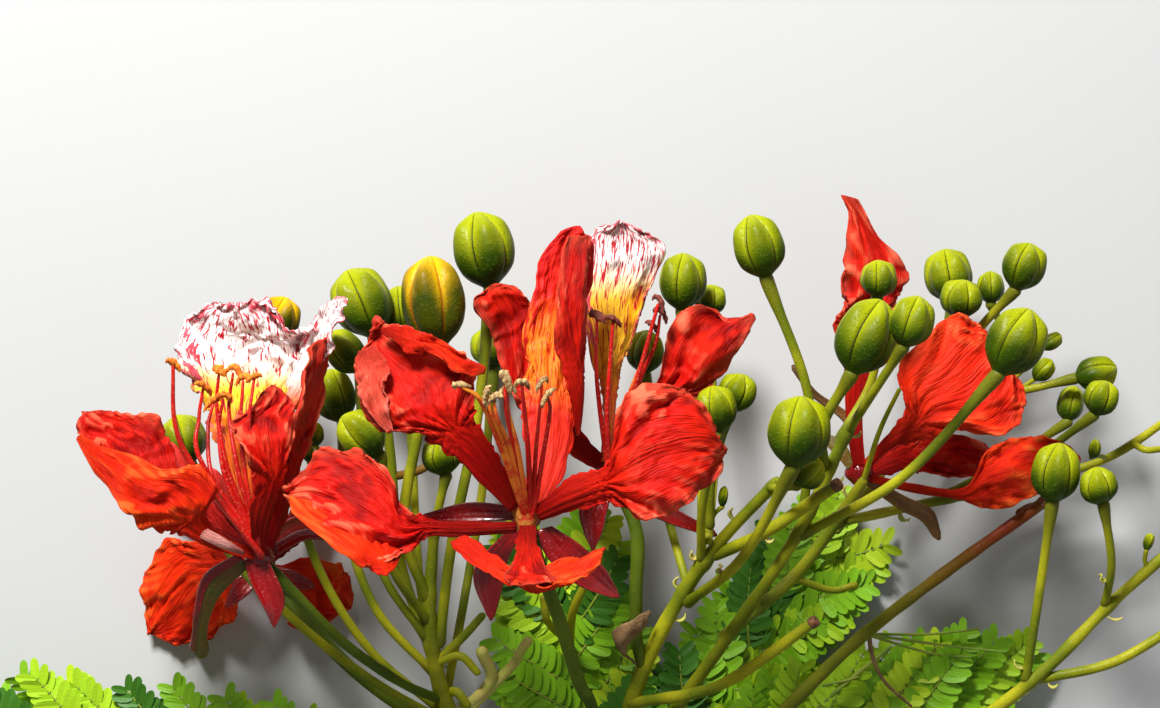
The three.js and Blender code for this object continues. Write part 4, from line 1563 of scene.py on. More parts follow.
@dataclass
class Blooms(Maker):
    """Builds the open blooms: petals, sepals, cup, hub, stamens and stalk.

    The outlines of a cup and a hub are pairs of height and radius in mm.
    """

    cup: tuple[tuple[float, float], ...] = (
        (0.0, 0.4), (0.3, 1.6), (1.3, 3.0), (2.9, 3.9), (4.6, 3.9), (6.0, 3.0), (6.9, 1.6), (7.2, 0.4))
    hub: tuple[tuple[float, float], ...] = (
        (-0.6, 0.4), (0.0, 1.9), (1.5, 2.5), (3.5, 2.9), (5.5, 3.5), (7.2, 4.0), (8.3, 3.9), (9.0, 3.0),
        (9.3, 0.5))
    cup_drop: float = 6.6
    cup_sides: int = 30
    cup_lobing: float = 0.06
    hub_sides: int = 60
    hub_lobing: float = 0.03
    stalk_drop: float = 7.0
    stalk_sides: int = 20
    filament_sides: int = 10
    filament_taper: tuple[float, float] = (1.9, 0.8)
    spacing: float = 1.5
    anther_sides: int = 14
    anther_rings: int = 17
    anther_radius: float = 1.05

    def __post_init__(self) -> None:
        """Sets up what makes its petals and its sepals."""
        self.petals = Petals(self.model, self.finishes, self.tubes)
        self.sepals = Sepals(self.model, self.finishes, self.tubes)

    def build(self, shape: BloomShape, number: int) -> None:
        """Makes one bloom.

        Args:
            shape: what it is made of.
            number: its number, which seeds its own random numbers.
        """
        rng = draws(Stream.BLOOM, number)
        for petal in shape.petals:
            self.petals.build(shape.node, petal, rng)
        for k, sepal in enumerate(shape.sepals, 1):
            self.sepals.build(shape.node, k, sepal)
        self._cup(shape)
        if shape.stalk:
            self._stalk(shape, rng)
        if shape.stamens:
            self._stamens(shape, rng)

    def _cup(self, shape: BloomShape) -> None:
        """The cup that holds the petals, and the hub where they meet."""
        foot = self.model.place([shape.cup])[0] - UP * self.cup_drop
        cup = new_object(f"{shape.node}_cup", turned(foot, UP, self.cup, self.cup_sides, self.cup_lobing))
        self.settle(cup, Slot.BLOOM, "sepal_crimson", shape.node)
        if shape.hub:
            foot, top = self.model.place(shape.hub)
            solid = turned(foot, top - foot, self.hub, self.hub_sides, self.hub_lobing)
            self.settle(new_object(f"{shape.node}_hub", solid), Slot.BLOOM, "cup_orange", shape.node)

    def _stalk(self, shape: BloomShape, rng: Draws) -> None:
        """The bloom's own stalk, up to its cup."""
        x, y, height = shape.cup
        line = self.model.place([*shape.stalk, (x, y, height - self.stalk_drop)])
        radii = shape.stalk_radius * np.linspace(0.95, 1.15, len(line))
        course = Course(line, radii).resampled(self.spacing)
        course.radii = course.radii * (1 + 0.04 * waves(rng, np.arange(len(course.radii)) * 0.3, 0.5, 3))
        name = f"{shape.node}_stalk"
        self.grow_stalks(name, [course], self.stalk_sides, Slot.STALK, "stalk_dark", shape.node)

    def _stamens(self, shape: BloomShape, rng: Draws) -> None:
        """The filaments, in red and in pale, and the anthers on their ends."""
        anthers = []
        wide, narrow = self.filament_taper
        for colour in ("red", "pale"):
            courses = []
            for stamen in shape.stamens:
                if stamen.pale != (colour == "pale"):
                    continue
                line = self.model.place([shape.cup, *stamen.course])
                radii = np.linspace(stamen.radius * wide, stamen.radius * narrow, len(line))
                course = Course(line, radii).resampled(self.spacing)
                courses.append(course)
                anthers.append(self._anther(course.points[-1], course.points[-1] - course.points[-3], rng))
            if courses:
                name = f"{shape.node}_filaments_{colour}"
                self.grow_stalks(
                    name, courses, self.filament_sides, Slot.BLOOM, f"filament_{colour}", shape.node)
        piece = new_object(f"{shape.node}_anthers", joined(anthers))
        self.settle(piece, Slot.BLOOM, shape.anthers.value, shape.node)

    def _anther(self, place: np.ndarray, ahead: np.ndarray, rng: Draws) -> Solid:
        """An anther: a grooved grain that sits across the end of its filament."""
        along = unit(ahead)
        across = unit(np.cross(along, UP) + rng.normal(0, 0.3, 3) + along * rng.uniform(-1.3, 1.3))
        turn = np.linspace(0, math.pi, self.anther_rings)
        droop = rng.uniform(-1.0, 0.6) * np.sin(turn)[:, None] ** 0.8 * UP
        curl = (np.sin(turn)[:, None] - 0.3) * along * rng.uniform(1.0, 2.8)
        middle = place - across * rng.uniform(1.9, 2.8) * np.cos(turn)[:, None] + curl + droop
        waist = 1 - 0.3 * np.cos(2 * turns_round(self.anther_sides))
        lumps = 1 + 0.22 * waves(rng, turn * 6, 0.8, 3.0)[:, None]
        radii = self.anther_radius * np.maximum(np.sin(turn), 0.06)[:, None] ** 0.6 * waist * lumps
        return tube(middle, radii, self.anther_sides)


BLOOM_LEFT = BloomShape(
    node="bloom_left",
    cup=(259, 555, 80),
    anthers=AntherAge.FRESH,
    stalk=((441, 700, 31), (400, 682, 44), (344, 643, 58), (292, 591, 71)),
    stalk_radius=1.35,
    petals=(
        PetalShape("lobe", PetalKind.GLOWING, (
            (254, 548, 80, 256, 560, 80), (225, 538, 84, 222, 552, 84), (206, 512, 90, 185, 536, 88),
            (219, 490, 95, 164, 532, 88), (196, 468, 96, 140, 520, 92), (165, 470, 95, 121, 505, 94),
            (132, 456, 94, 100, 476, 92), (100, 446, 91, 86, 456, 91), (84, 436, 89, 77, 440, 89)),
            bulge=1.2, ruffle=1.1, wrinkle=0.85, rise=0.3, pleat=0.1),
        PetalShape("lobe_inside", PetalKind.SCARLET, (
            (190, 486, 88, 140, 500, 88), (179, 462, 86, 118, 484, 88), (172, 438, 84, 98, 462, 88),
            (150, 420, 82, 84, 444, 87), (122, 412, 82, 76, 430, 86), (100, 410, 83, 80, 420, 84))),
        PetalShape("flag", PetalKind.WHITE_FLAG, (
            (250, 545, 76, 262, 548, 76), (232, 490, 72, 262, 490, 72), (212, 430, 68, 280, 430, 66),
            (200, 392, 64, 304, 392, 62), (182, 363, 60, 320, 362, 60), (183, 332, 58, 318, 338, 60),
            (196, 312, 60, 303, 324, 64), (222, 302, 62, 268, 312, 66)),
            bulge=3.0, ruffle=2.4, wrinkle=1.5, rise=0.08, pleat=0.8),
        PetalShape("flag_wing", PetalKind.FLAG_WING, (
            (270, 430, 64, 286, 426, 66), (286, 388, 62, 308, 382, 67), (298, 352, 61, 328, 352, 68),
            (308, 326, 61, 338, 324, 68), (322, 306, 62, 344, 308, 67), (336, 297, 63, 347, 298, 66)),
            bulge=0.6, ruffle=2.2, wrinkle=1.6, rise=0.05, pleat=0.9),
        PetalShape("lobe_claw", PetalKind.BLUSH, (
            (243, 555, 83, 244, 551, 83), (226, 549, 87, 228, 541, 87), (208, 541, 88, 211, 531, 88),
            (188, 531, 85, 192, 520, 85)), bulge=0.8, ruffle=0.3, wrinkle=1.0, rise=0.1, pleat=0.3),
        PetalShape("inner", PetalKind.SCARLET, (
            (253, 552, 82, 265, 552, 82), (250, 515, 90, 272, 515, 88), (254, 478, 95, 288, 470, 90),
            (238, 455, 97, 296, 440, 90), (229, 427, 95, 300, 415, 88), (252, 408, 92, 296, 400, 86),
            (262, 392, 90, 285, 390, 86))),
        PetalShape("edge_on", PetalKind.SCARLET, (
            (262, 552, 78, 272, 553, 78), (268, 520, 80, 284, 524, 78), (280, 470, 82, 302, 468, 72),
            (292, 425, 82, 314, 430, 66), (300, 385, 80, 322, 390, 60), (312, 352, 76, 327, 350, 60)),
            bulge=1.0, ruffle=0.8),
        PetalShape("behind", PetalKind.SHADED, (
            (250, 545, 74, 258, 556, 74), (220, 512, 66, 212, 534, 66), (180, 455, 58, 140, 500, 58),
            (150, 438, 52, 115, 468, 52))),
    ),
    sepals=(
        SepalShape(((238, 556, 79), (207, 578, 76), (197, 610, 72), (195, 632, 67), (192, 647, 63)),
                   ((250, 566, 78), (222, 592, 73), (210, 614, 68), (206, 634, 63), (209, 648, 60)),
                   inside_up=False),
        SepalShape(((244, 560, 79), (250, 580, 80), (262, 604, 80), (271, 623, 78)),
                   ((268, 560, 79), (282, 590, 80), (284, 606, 79), (277, 624, 78))),
        SepalShape(((272, 545, 76), (304, 530, 72), (338, 533, 68), (352, 546, 64)),
                   ((276, 556, 76), (306, 540, 72), (335, 543, 68), (346, 555, 64))),
        SepalShape(((266, 540, 72), (292, 518, 64), (323, 517, 56)),
                   ((272, 552, 72), (295, 535, 64), (322, 531, 56))),
        SepalShape(((236, 554, 80), (204, 576, 77), (195, 610, 73), (193, 632, 68), (190, 647, 64)),
                   ((243, 559, 80), (211, 582, 76), (200, 611, 72), (197, 632, 67), (195, 648, 63))),
    ),
    stamens=(
        Stamen(((256, 548, 84), (194, 467, 93), (175, 423, 98), (173, 366, 100)), radius=0.6),
        Stamen(((254, 540, 84), (200, 459, 90), (199, 418, 88), (203, 389, 88))),
        Stamen(((255, 538, 84), (228, 470, 88), (217, 410, 86), (219, 372, 86))),
        Stamen(((256, 536, 84), (238, 470, 88), (229, 412, 84), (233, 374, 84))),
        Stamen(((257, 536, 85), (246, 480, 90), (241, 425, 88), (243, 382, 86))),
        Stamen(((255, 540, 84), (226, 480, 88), (219, 430, 86), (223, 400, 86))),
        Stamen(((258, 536, 85), (254, 480, 92), (249, 425, 96), (254, 379, 94))),
        Stamen(((254, 542, 83), (214, 482, 86), (208, 430, 80), (213, 405, 78))),
    ),
)

BLOOM_LEFT_BACK = BloomShape(
    node="bloom_left_back",
    cup=(262, 568, 22),
    stalk=((462, 736, 27), (420, 718, 25), (360, 676, 24), (300, 616, 22)),
    petals=(
        PetalShape("wide", PetalKind.GLOWING, (
            (258, 560, 24, 262, 572, 24), (235, 553, 20, 246, 580, 20), (200, 545, 16, 238, 600, 16),
            (165, 540, 12, 230, 622, 12), (145, 572, 8, 205, 645, 8), (145, 605, 5, 175, 645, 5),
            (146, 625, 4, 158, 638, 4))),
        PetalShape("right", PetalKind.GLOWING, (
            (262, 566, 22, 268, 574, 22), (320, 560, 14, 286, 618, 14), (342, 570, 10, 300, 632, 10),
            (352, 595, 8, 325, 620, 8))),
        PetalShape("hidden_left", PetalKind.SHADED, (
            (254, 562, 22, 262, 556, 22), (222, 530, 14, 240, 510, 14), (178, 508, 7, 215, 474, 7),
            (165, 490, 4, 188, 462, 4))),
        PetalShape("hidden_right", PetalKind.SHADED, (
            (262, 558, 22, 268, 566, 22), (282, 524, 15, 296, 548, 15), (298, 492, 8, 322, 524, 8),
            (315, 484, 5, 332, 504, 5))),
    ),
    sepals=(
        SepalShape(((256, 566, 22), (236, 580, 24), (226, 600, 24)),
                   ((264, 574, 22), (248, 594, 24), (232, 606, 24))),
        SepalShape(((268, 566, 22), (290, 570, 24), (310, 580, 24)),
                   ((264, 574, 22), (282, 588, 24), (304, 590, 24))),
    ),
    stamens=(),
)

BLOOM_CENTRE = BloomShape(
    node="bloom_centre",
    cup=(526, 517, 82),
    hub=((526, 534, 83), (526, 503, 80)),
    stalk=((612, 800, 23), (603, 770, 34), (592, 708, 52), (579, 682, 58), (559, 619, 69), (540, 566, 77)),
    petals=(
        PetalShape("left_strip", PetalKind.SCARLET, (
            (511, 511, 84, 520, 502, 84), (480, 481, 90, 500, 460, 90), (452, 457, 94, 480, 425, 94),
            (420, 437, 97, 470, 405, 96), (389, 433, 98, 474, 382, 96), (371, 417, 97, 478, 362, 94),
            (360, 390, 94, 450, 346, 92), (355, 365, 92, 410, 330, 90), (365, 347, 91, 392, 326, 90))),
        PetalShape("left_strip_fold", PetalKind.FOLDED, (
            (358, 352, 95, 372, 345, 96), (355, 368, 95, 388, 366, 97), (358, 390, 97, 387, 390, 99),
            (368, 412, 99, 388, 412, 100), (388, 434, 99, 392, 431, 100)),
            bulge=0.4, ruffle=2.6, wrinkle=2.4, rise=0.1, pleat=1.6),
        PetalShape("left_strip_crest", PetalKind.WARM, (
            (381, 329, 94, 382, 334, 94), (398, 326, 95, 396, 342, 97), (418, 331, 96, 408, 352, 98),
            (440, 340, 97, 434, 356, 99), (460, 350, 98, 452, 372, 100), (474, 358, 97, 468, 376, 99),
            (486, 368, 96, 484, 374, 96)), bulge=0.5, ruffle=3.2, wrinkle=3.0, rise=0.1, pleat=2.2),
        PetalShape("low_left", PetalKind.SCARLET, (
            (516, 533, 84, 516, 521, 84), (470, 536, 88, 470, 521, 88), (430, 537, 92, 428, 518, 92),
            (402, 556, 98, 404, 503, 94), (378, 568, 100, 386, 465, 92), (350, 550, 100, 357, 448, 90),
            (318, 526, 96, 318, 448, 88), (293, 510, 92, 298, 470, 88)), wrinkle=1.1),
        PetalShape("low_left_lip", PetalKind.GLOWING, (
            (404, 552, 96, 408, 545, 92), (392, 571, 101, 398, 546, 95), (376, 574, 104, 384, 538, 96),
            (350, 556, 104, 364, 522, 96), (318, 532, 101, 334, 508, 93), (292, 512, 96, 304, 494, 89)),
            bulge=0.6, ruffle=0.8, wrinkle=0.6, rise=0.2, pleat=0.3),
        PetalShape("right", PetalKind.SCARLET, (
            (536, 505, 84, 541, 522, 84), (568, 481, 90, 574, 511, 90), (611, 460, 96, 610, 502, 96),
            (618, 412, 100, 640, 521, 100), (645, 388, 100, 670, 512, 100), (690, 390, 98, 699, 494, 98),
            (712, 425, 94, 722, 470, 94)), bulge=1.8, ruffle=2.0, wrinkle=1.3),
        PetalShape("low_claw", PetalKind.SCARLET, (
            (519, 524, 83, 535, 524, 83), (516, 545, 95, 538, 545, 95), (511, 562, 106, 544, 562, 106),
            (500, 576, 112, 556, 576, 112), (510, 586, 115, 552, 585, 115)),
            bulge=1.0, ruffle=0.3, wrinkle=0.6, rise=0.02),
        PetalShape("low_rim", PetalKind.GLOWING, (
            (450, 543, 103, 452, 548, 106), (466, 537, 99, 464, 559, 109), (486, 548, 100, 484, 573, 112),
            (508, 565, 102, 512, 582, 114), (536, 573, 103, 538, 588, 115), (560, 560, 102, 566, 577, 114),
            (578, 554, 101, 586, 566, 112), (596, 546, 100, 600, 558, 110), (605, 548, 102, 605, 552, 106)),
            bulge=0.4, ruffle=2.0, wrinkle=1.0, rise=0.1, pleat=0.8),
        PetalShape("flag", PetalKind.ORANGE_FLAG, (
            (528, 505, 80, 545, 505, 78), (526, 460, 74, 570, 455, 70), (525, 410, 70, 577, 410, 66),
            (525, 365, 67, 576, 365, 64), (527, 330, 65, 582, 325, 62), (536, 290, 64, 586, 285, 60),
            (546, 255, 64, 589, 245, 60), (562, 232, 64, 588, 238, 62))),
        PetalShape("flag_roll", PetalKind.SCARLET, (
            (577, 436, 66, 579, 436, 66), (569, 396, 70, 581, 398, 66), (558, 350, 72, 584, 356, 66),
            (554, 304, 74, 588, 306, 66), (562, 268, 73, 590, 264, 64), (570, 236, 70, 590, 238, 62)),
            bulge=3.0, ruffle=1.2, wrinkle=0.9, rise=0.1),
    ),
    sepals=(
        SepalShape(((515, 506, 80), (468, 503, 78), (424, 514, 74)),
                   ((515, 520, 80), (468, 522, 78), (426, 521, 74))),
        SepalShape(((512, 526, 80), (480, 560, 78), (474, 582, 74), (486, 614, 70)),
                   ((522, 532, 80), (508, 560, 78), (503, 585, 74), (495, 616, 70))),
        SepalShape(((536, 530, 81), (548, 558, 82), (578, 585, 81), (612, 598, 78)),
                   ((552, 526, 81), (580, 545, 82), (604, 568, 81), (617, 589, 78))),
    ),
    stamens=(
        Stamen(((524, 512, 84), (500, 445, 98), (480, 400, 108), (462, 387, 110)), pale=True, radius=0.6),
        Stamen(((530, 510, 84), (528, 450, 96), (522, 387, 106)), radius=0.6),
        Stamen(((523, 512, 84), (506, 450, 98), (492, 415, 106), (487, 396, 108)), pale=True),
        Stamen(((525, 511, 84), (511, 450, 98), (498, 420, 106), (494, 402, 108)), pale=True),
        Stamen(((526, 510, 84), (514, 448, 98), (506, 410, 106), (505, 383, 108))),
        Stamen(((527, 510, 84), (518, 450, 98), (509, 415, 104), (507, 394, 106)), pale=True),
        Stamen(((532, 510, 84), (536, 450, 94), (542, 386, 102))),
        Stamen(((533, 512, 84), (543, 455, 92), (550, 412, 98), (548, 398, 100))),
    ),
)

BLOOM_CENTRE_BACK = BloomShape(
    node="bloom_centre_back",
    cup=(610, 470, 50),
    anthers=AntherAge.SPENT,
    stalk=((643, 667, 36), (637, 640, 40), (636, 590, 44), (636, 530, 46)),
    petals=(
        PetalShape("left_long", PetalKind.SCARLET, (
            (600, 468, 50, 605, 458, 50), (575, 450, 52, 582, 436, 52), (545, 425, 54, 556, 408, 54),
            (515, 400, 55, 535, 375, 54), (505, 365, 56, 532, 345, 54), (500, 335, 57, 532, 310, 54),
            (478, 305, 57, 530, 295, 55), (482, 292, 57, 515, 286, 56)),
            bulge=0.2, ruffle=2.8, wrinkle=2.0),
        PetalShape("left_low", PetalKind.GLOWING, (
            (600, 472, 48, 606, 462, 48), (565, 450, 46, 578, 425, 46), (548, 410, 44, 575, 385, 44),
            (550, 370, 42, 568, 350, 42))),
        PetalShape("flag", PetalKind.FAR_FLAG, (
            (600, 462, 50, 612, 462, 50), (603, 425, 48, 614, 425, 48), (602, 400, 46, 617, 395, 46),
            (597, 370, 44, 624, 365, 44), (590, 335, 42, 638, 335, 42), (581, 300, 40, 650, 296, 40),
            (583, 262, 40, 660, 270, 40), (588, 235, 41, 663, 243, 41), (605, 226, 42, 640, 229, 42)),
            bulge=2.0, ruffle=0.7, wrinkle=1.0, rise=0.1, pleat=0.6),
        PetalShape("right_high", PetalKind.SCARLET, (
            (612, 462, 52, 620, 466, 52), (632, 425, 56, 642, 432, 56), (652, 392, 60, 668, 398, 60),
            (662, 362, 62, 700, 394, 62), (672, 330, 62, 718, 374, 62), (700, 306, 60, 738, 345, 60),
            (732, 312, 58, 755, 318, 58)), bulge=0.6, ruffle=2.2, wrinkle=1.6),
        PetalShape("hidden", PetalKind.SHADED, (
            (614, 468, 48, 616, 480, 48), (640, 452, 45, 642, 482, 45), (664, 440, 43, 666, 484, 43),
            (678, 452, 41, 678, 476, 41))),
    ),
    sepals=(
        SepalShape(((600, 478, 49), (580, 506, 52), (584, 532, 52), (591, 549, 50)),
                   ((615, 480, 49), (608, 506, 52), (602, 532, 52), (595, 549, 50))),
        SepalShape(((616, 476, 47), (662, 502, 44), (714, 530, 40)),
                   ((612, 487, 47), (655, 517, 44), (710, 537, 40))),
        SepalShape(((608, 464, 51), (622, 440, 52), (634, 424, 50)),
                   ((618, 470, 51), (634, 452, 52), (642, 434, 50))),
    ),
    stamens=(
        Stamen(((610, 466, 54), (607, 415, 60), (613, 322, 64)), radius=0.6),
        Stamen(((615, 466, 54), (634, 392, 68), (658, 305, 71)), radius=0.6),
        Stamen(((608, 466, 54), (600, 410, 58), (596, 365, 60), (597, 318, 60))),
        Stamen(((616, 464, 54), (637, 388, 64), (655, 345, 68), (660, 316, 69))),
        Stamen(((614, 466, 54), (628, 400, 62), (645, 355, 66), (652, 328, 68)), pale=True),
    ),
)

BLOOM_RIGHT = BloomShape(
    node="bloom_right",
    cup=(860, 472, 42),
    petals=(
        PetalShape("high", PetalKind.SCARLET, (
            (853, 468, 42, 865, 466, 42), (846, 425, 42, 862, 425, 42), (845, 374, 42, 872, 370, 42),
            (837, 323, 44, 888, 325, 40), (843, 297, 45, 903, 294, 40), (847, 260, 45, 905, 272, 40),
            (848, 215, 44, 876, 232, 42), (840, 194, 44, 858, 199, 43)), ruffle=1.3, rise=0.05),
        PetalShape("wide", PetalKind.WARM, (
            (862, 462, 44, 868, 470, 44), (885, 436, 46, 893, 447, 46), (905, 408, 47, 925, 440, 47),
            (898, 374, 48, 965, 432, 47), (925, 342, 48, 1005, 436, 46), (950, 318, 47, 1025, 413, 45),
            (972, 319, 46, 1024, 385, 44), (990, 338, 45, 1010, 362, 44))),
        PetalShape("under", PetalKind.SCARLET, (
            (866, 470, 40, 868, 478, 40), (905, 445, 36, 910, 472, 36), (945, 434, 32, 950, 480, 32),
            (985, 445, 30, 985, 475, 30)), bulge=0.6, ruffle=2.2, wrinkle=2.0),
        PetalShape("right", PetalKind.GLOWING, (
            (870, 474, 42, 870, 482, 42), (915, 484, 44, 912, 492, 44), (965, 488, 45, 962, 500, 45),
            (986, 456, 46, 985, 504, 46), (1015, 438, 46, 1015, 502, 46), (1045, 435, 45, 1045, 490, 45),
            (1070, 446, 44, 1075, 472, 44))),
        PetalShape("hidden", PetalKind.SHADED, (
            (860, 468, 38, 868, 472, 38), (893, 434, 36, 912, 446, 35), (918, 388, 34, 950, 410, 33),
            (930, 356, 32, 958, 378, 31))),
    ),
    sepals=(
        SepalShape(((852, 466, 40), (846, 425, 38), (812, 396, 36), (792, 370, 34)),
                   ((862, 468, 40), (855, 421, 38), (817, 392, 36), (798, 367, 34)), dry=True),
        SepalShape(((866, 474, 40), (904, 496, 38), (932, 510, 36), (941, 532, 34)),
                   ((862, 482, 40), (898, 508, 38), (922, 521, 36), (933, 537, 34)), dry=True),
        SepalShape(((848, 470, 41), (836, 455, 40), (826, 446, 38)),
                   ((856, 464, 41), (846, 446, 40), (836, 437, 38)), inside_up=False),
    ),
    stamens=(),
)

BLOOM_SHAPES = (BLOOM_LEFT, BLOOM_LEFT_BACK, BLOOM_CENTRE, BLOOM_CENTRE_BACK, BLOOM_RIGHT)


@dataclass(frozen=True)
class LeafShape:
    """A leaf's node, its half width in mm and its midrib."""

    node: str
    half_width: float
    course: tuple[Place, ...]


LEAF_SHAPES = (
    LeafShape(
        "leaf_left", 33, ((590, 936, 8), (480, 892, 17), (320, 836, 23), (130, 792, 20), (-40, 768, 9))),
    LeafShape(
        "leaf_right", 29, ((606, 908, 8), (690, 842, 12), (800, 776, 14), (905, 738, 12), (1000, 712, 5))),
    LeafShape(
        "leaf_middle", 22, ((602, 890, 9), (594, 800, 11), (580, 710, 11), (564, 620, 10), (558, 548, 8))),
    LeafShape("leaf_back", 18, ((610, 868, 8), (664, 770, 5), (730, 680, 4), (790, 600, 3), (842, 540, 2))),
    LeafShape("leaf_low_left", 31, ((584, 1010, 8), (490, 1040, 14), (350, 1090, 16), (180, 1150, 6))),
    LeafShape("leaf_low_right", 31, ((594, 1024, 8), (710, 1050, 14), (860, 1096, 16), (1020, 1150, 6))),
)


class LeafletGrower:
    """Sets leaflets on points with geometry nodes, each spray in one of a few plain greens."""

    TONES = 4
    STATIONS = ((0.06, 0.55), (0.25, 0.92), (0.55, 1.0), (0.84, 0.8), (0.96, 0.42))
    SAG = 0.32
    HALF_THICKNESS = 0.04

    def __init__(self, length: float, width: float) -> None:
        """Builds the leaflet and the tree once.

        Args:
            length: a leaflet's length in mm.
            width: its width in mm.
        """
        self.leaflet = self._leaflet(length, width / 2)
        inputs = {"Leaflet": "NodeSocketObject"}
        inputs |= {f"Green {k}": "NodeSocketMaterial" for k in range(self.TONES)}
        helper, entry, leave = growing_tree("leaflets_on_points", inputs)
        self.tree = helper.tree
        source = helper.add("GeometryNodeObjectInfo", {"Object": entry.outputs["Leaflet"]})
        rotation = helper.add("FunctionNodeEulerToRotation", {"Euler": kept(helper, "turn", "FLOAT_VECTOR")})
        size, tone = kept(helper, "size"), kept(helper, "tone", "INT")
        join = helper.add("GeometryNodeJoinGeometry")
        for k in range(self.TONES):
            chosen = helper.add("FunctionNodeCompare", {2: tone, 3: k}, data_type="INT", operation="EQUAL")
            placed = helper.add("GeometryNodeInstanceOnPoints", {
                "Points": entry.outputs["Geometry"], "Selection": chosen.outputs["Result"],
                "Instance": source.outputs["Geometry"], "Rotation": rotation.outputs["Rotation"],
                "Scale": size})
            helper.fill(join, {"Geometry": dressed(helper, placed.outputs[0], entry.outputs[f"Green {k}"])})
        helper.fill(leave, {"Geometry": join.outputs["Geometry"]})

    def _leaflet(self, length: float, half: float) -> Piece:
        """One leaflet: a thin closed lens folded along its rib, which points along +X."""
        points = [(0.0, 0.0, 0.0)]
        for share, width in self.STATIONS:
            corners = (
                (half * width, self.SAG * width), (-half * width, self.SAG * width),
                (0.0, self.HALF_THICKNESS), (0.0, -self.HALF_THICKNESS))
            points.extend((share * length, *corner) for corner in corners)
        points.append((length, 0.0, 0.0))
        tip = len(points) - 1
        left, right, above, below = ([0, *range(k, tip, 4), tip] for k in (1, 2, 3, 4))
        faces = []
        for near, far in ((above, left), (left, below), (right, above), (below, right)):
            for k in range(len(near) - 1):
                corners = [near[k], near[k + 1], far[k + 1], far[k]]
                faces.append(list(dict.fromkeys(corners)))
        return new_object("leaflet", (np.array(points), faces))

    def build(
        self, name: str, places: np.ndarray, turns: np.ndarray, sizes: np.ndarray, tones: np.ndarray,
        greens: Sequence[Material]
    ) -> Piece:
        """Sets a leaflet on each place.

        Args:
            name: the piece's name.
            places: where the leaflets' feet are, in mm.
            turns: how each is turned, as Euler angles.
            sizes: how large each is, as a share.
            tones: which green each has.
            greens: the finishes.

        Returns:
            One joined piece.
        """
        mesh = bpy.data.meshes.new(name)
        mesh.from_pydata((places * MM).tolist(), [], [])
        store(mesh, "turn", turns, "FLOAT_VECTOR")
        store(mesh, "size", sizes)
        store(mesh, "tone", tones, "INT")
        values = {"Leaflet": self.leaflet} | {f"Green {k}": green for k, green in enumerate(greens)}
        piece = grow(in_scene(name, mesh), self.tree, values)
        piece.data.shade_flat()
        return piece

    def put_away(self) -> None:
        """Takes the single leaflet out of the scene."""
        bpy.data.objects.remove(self.leaflet)


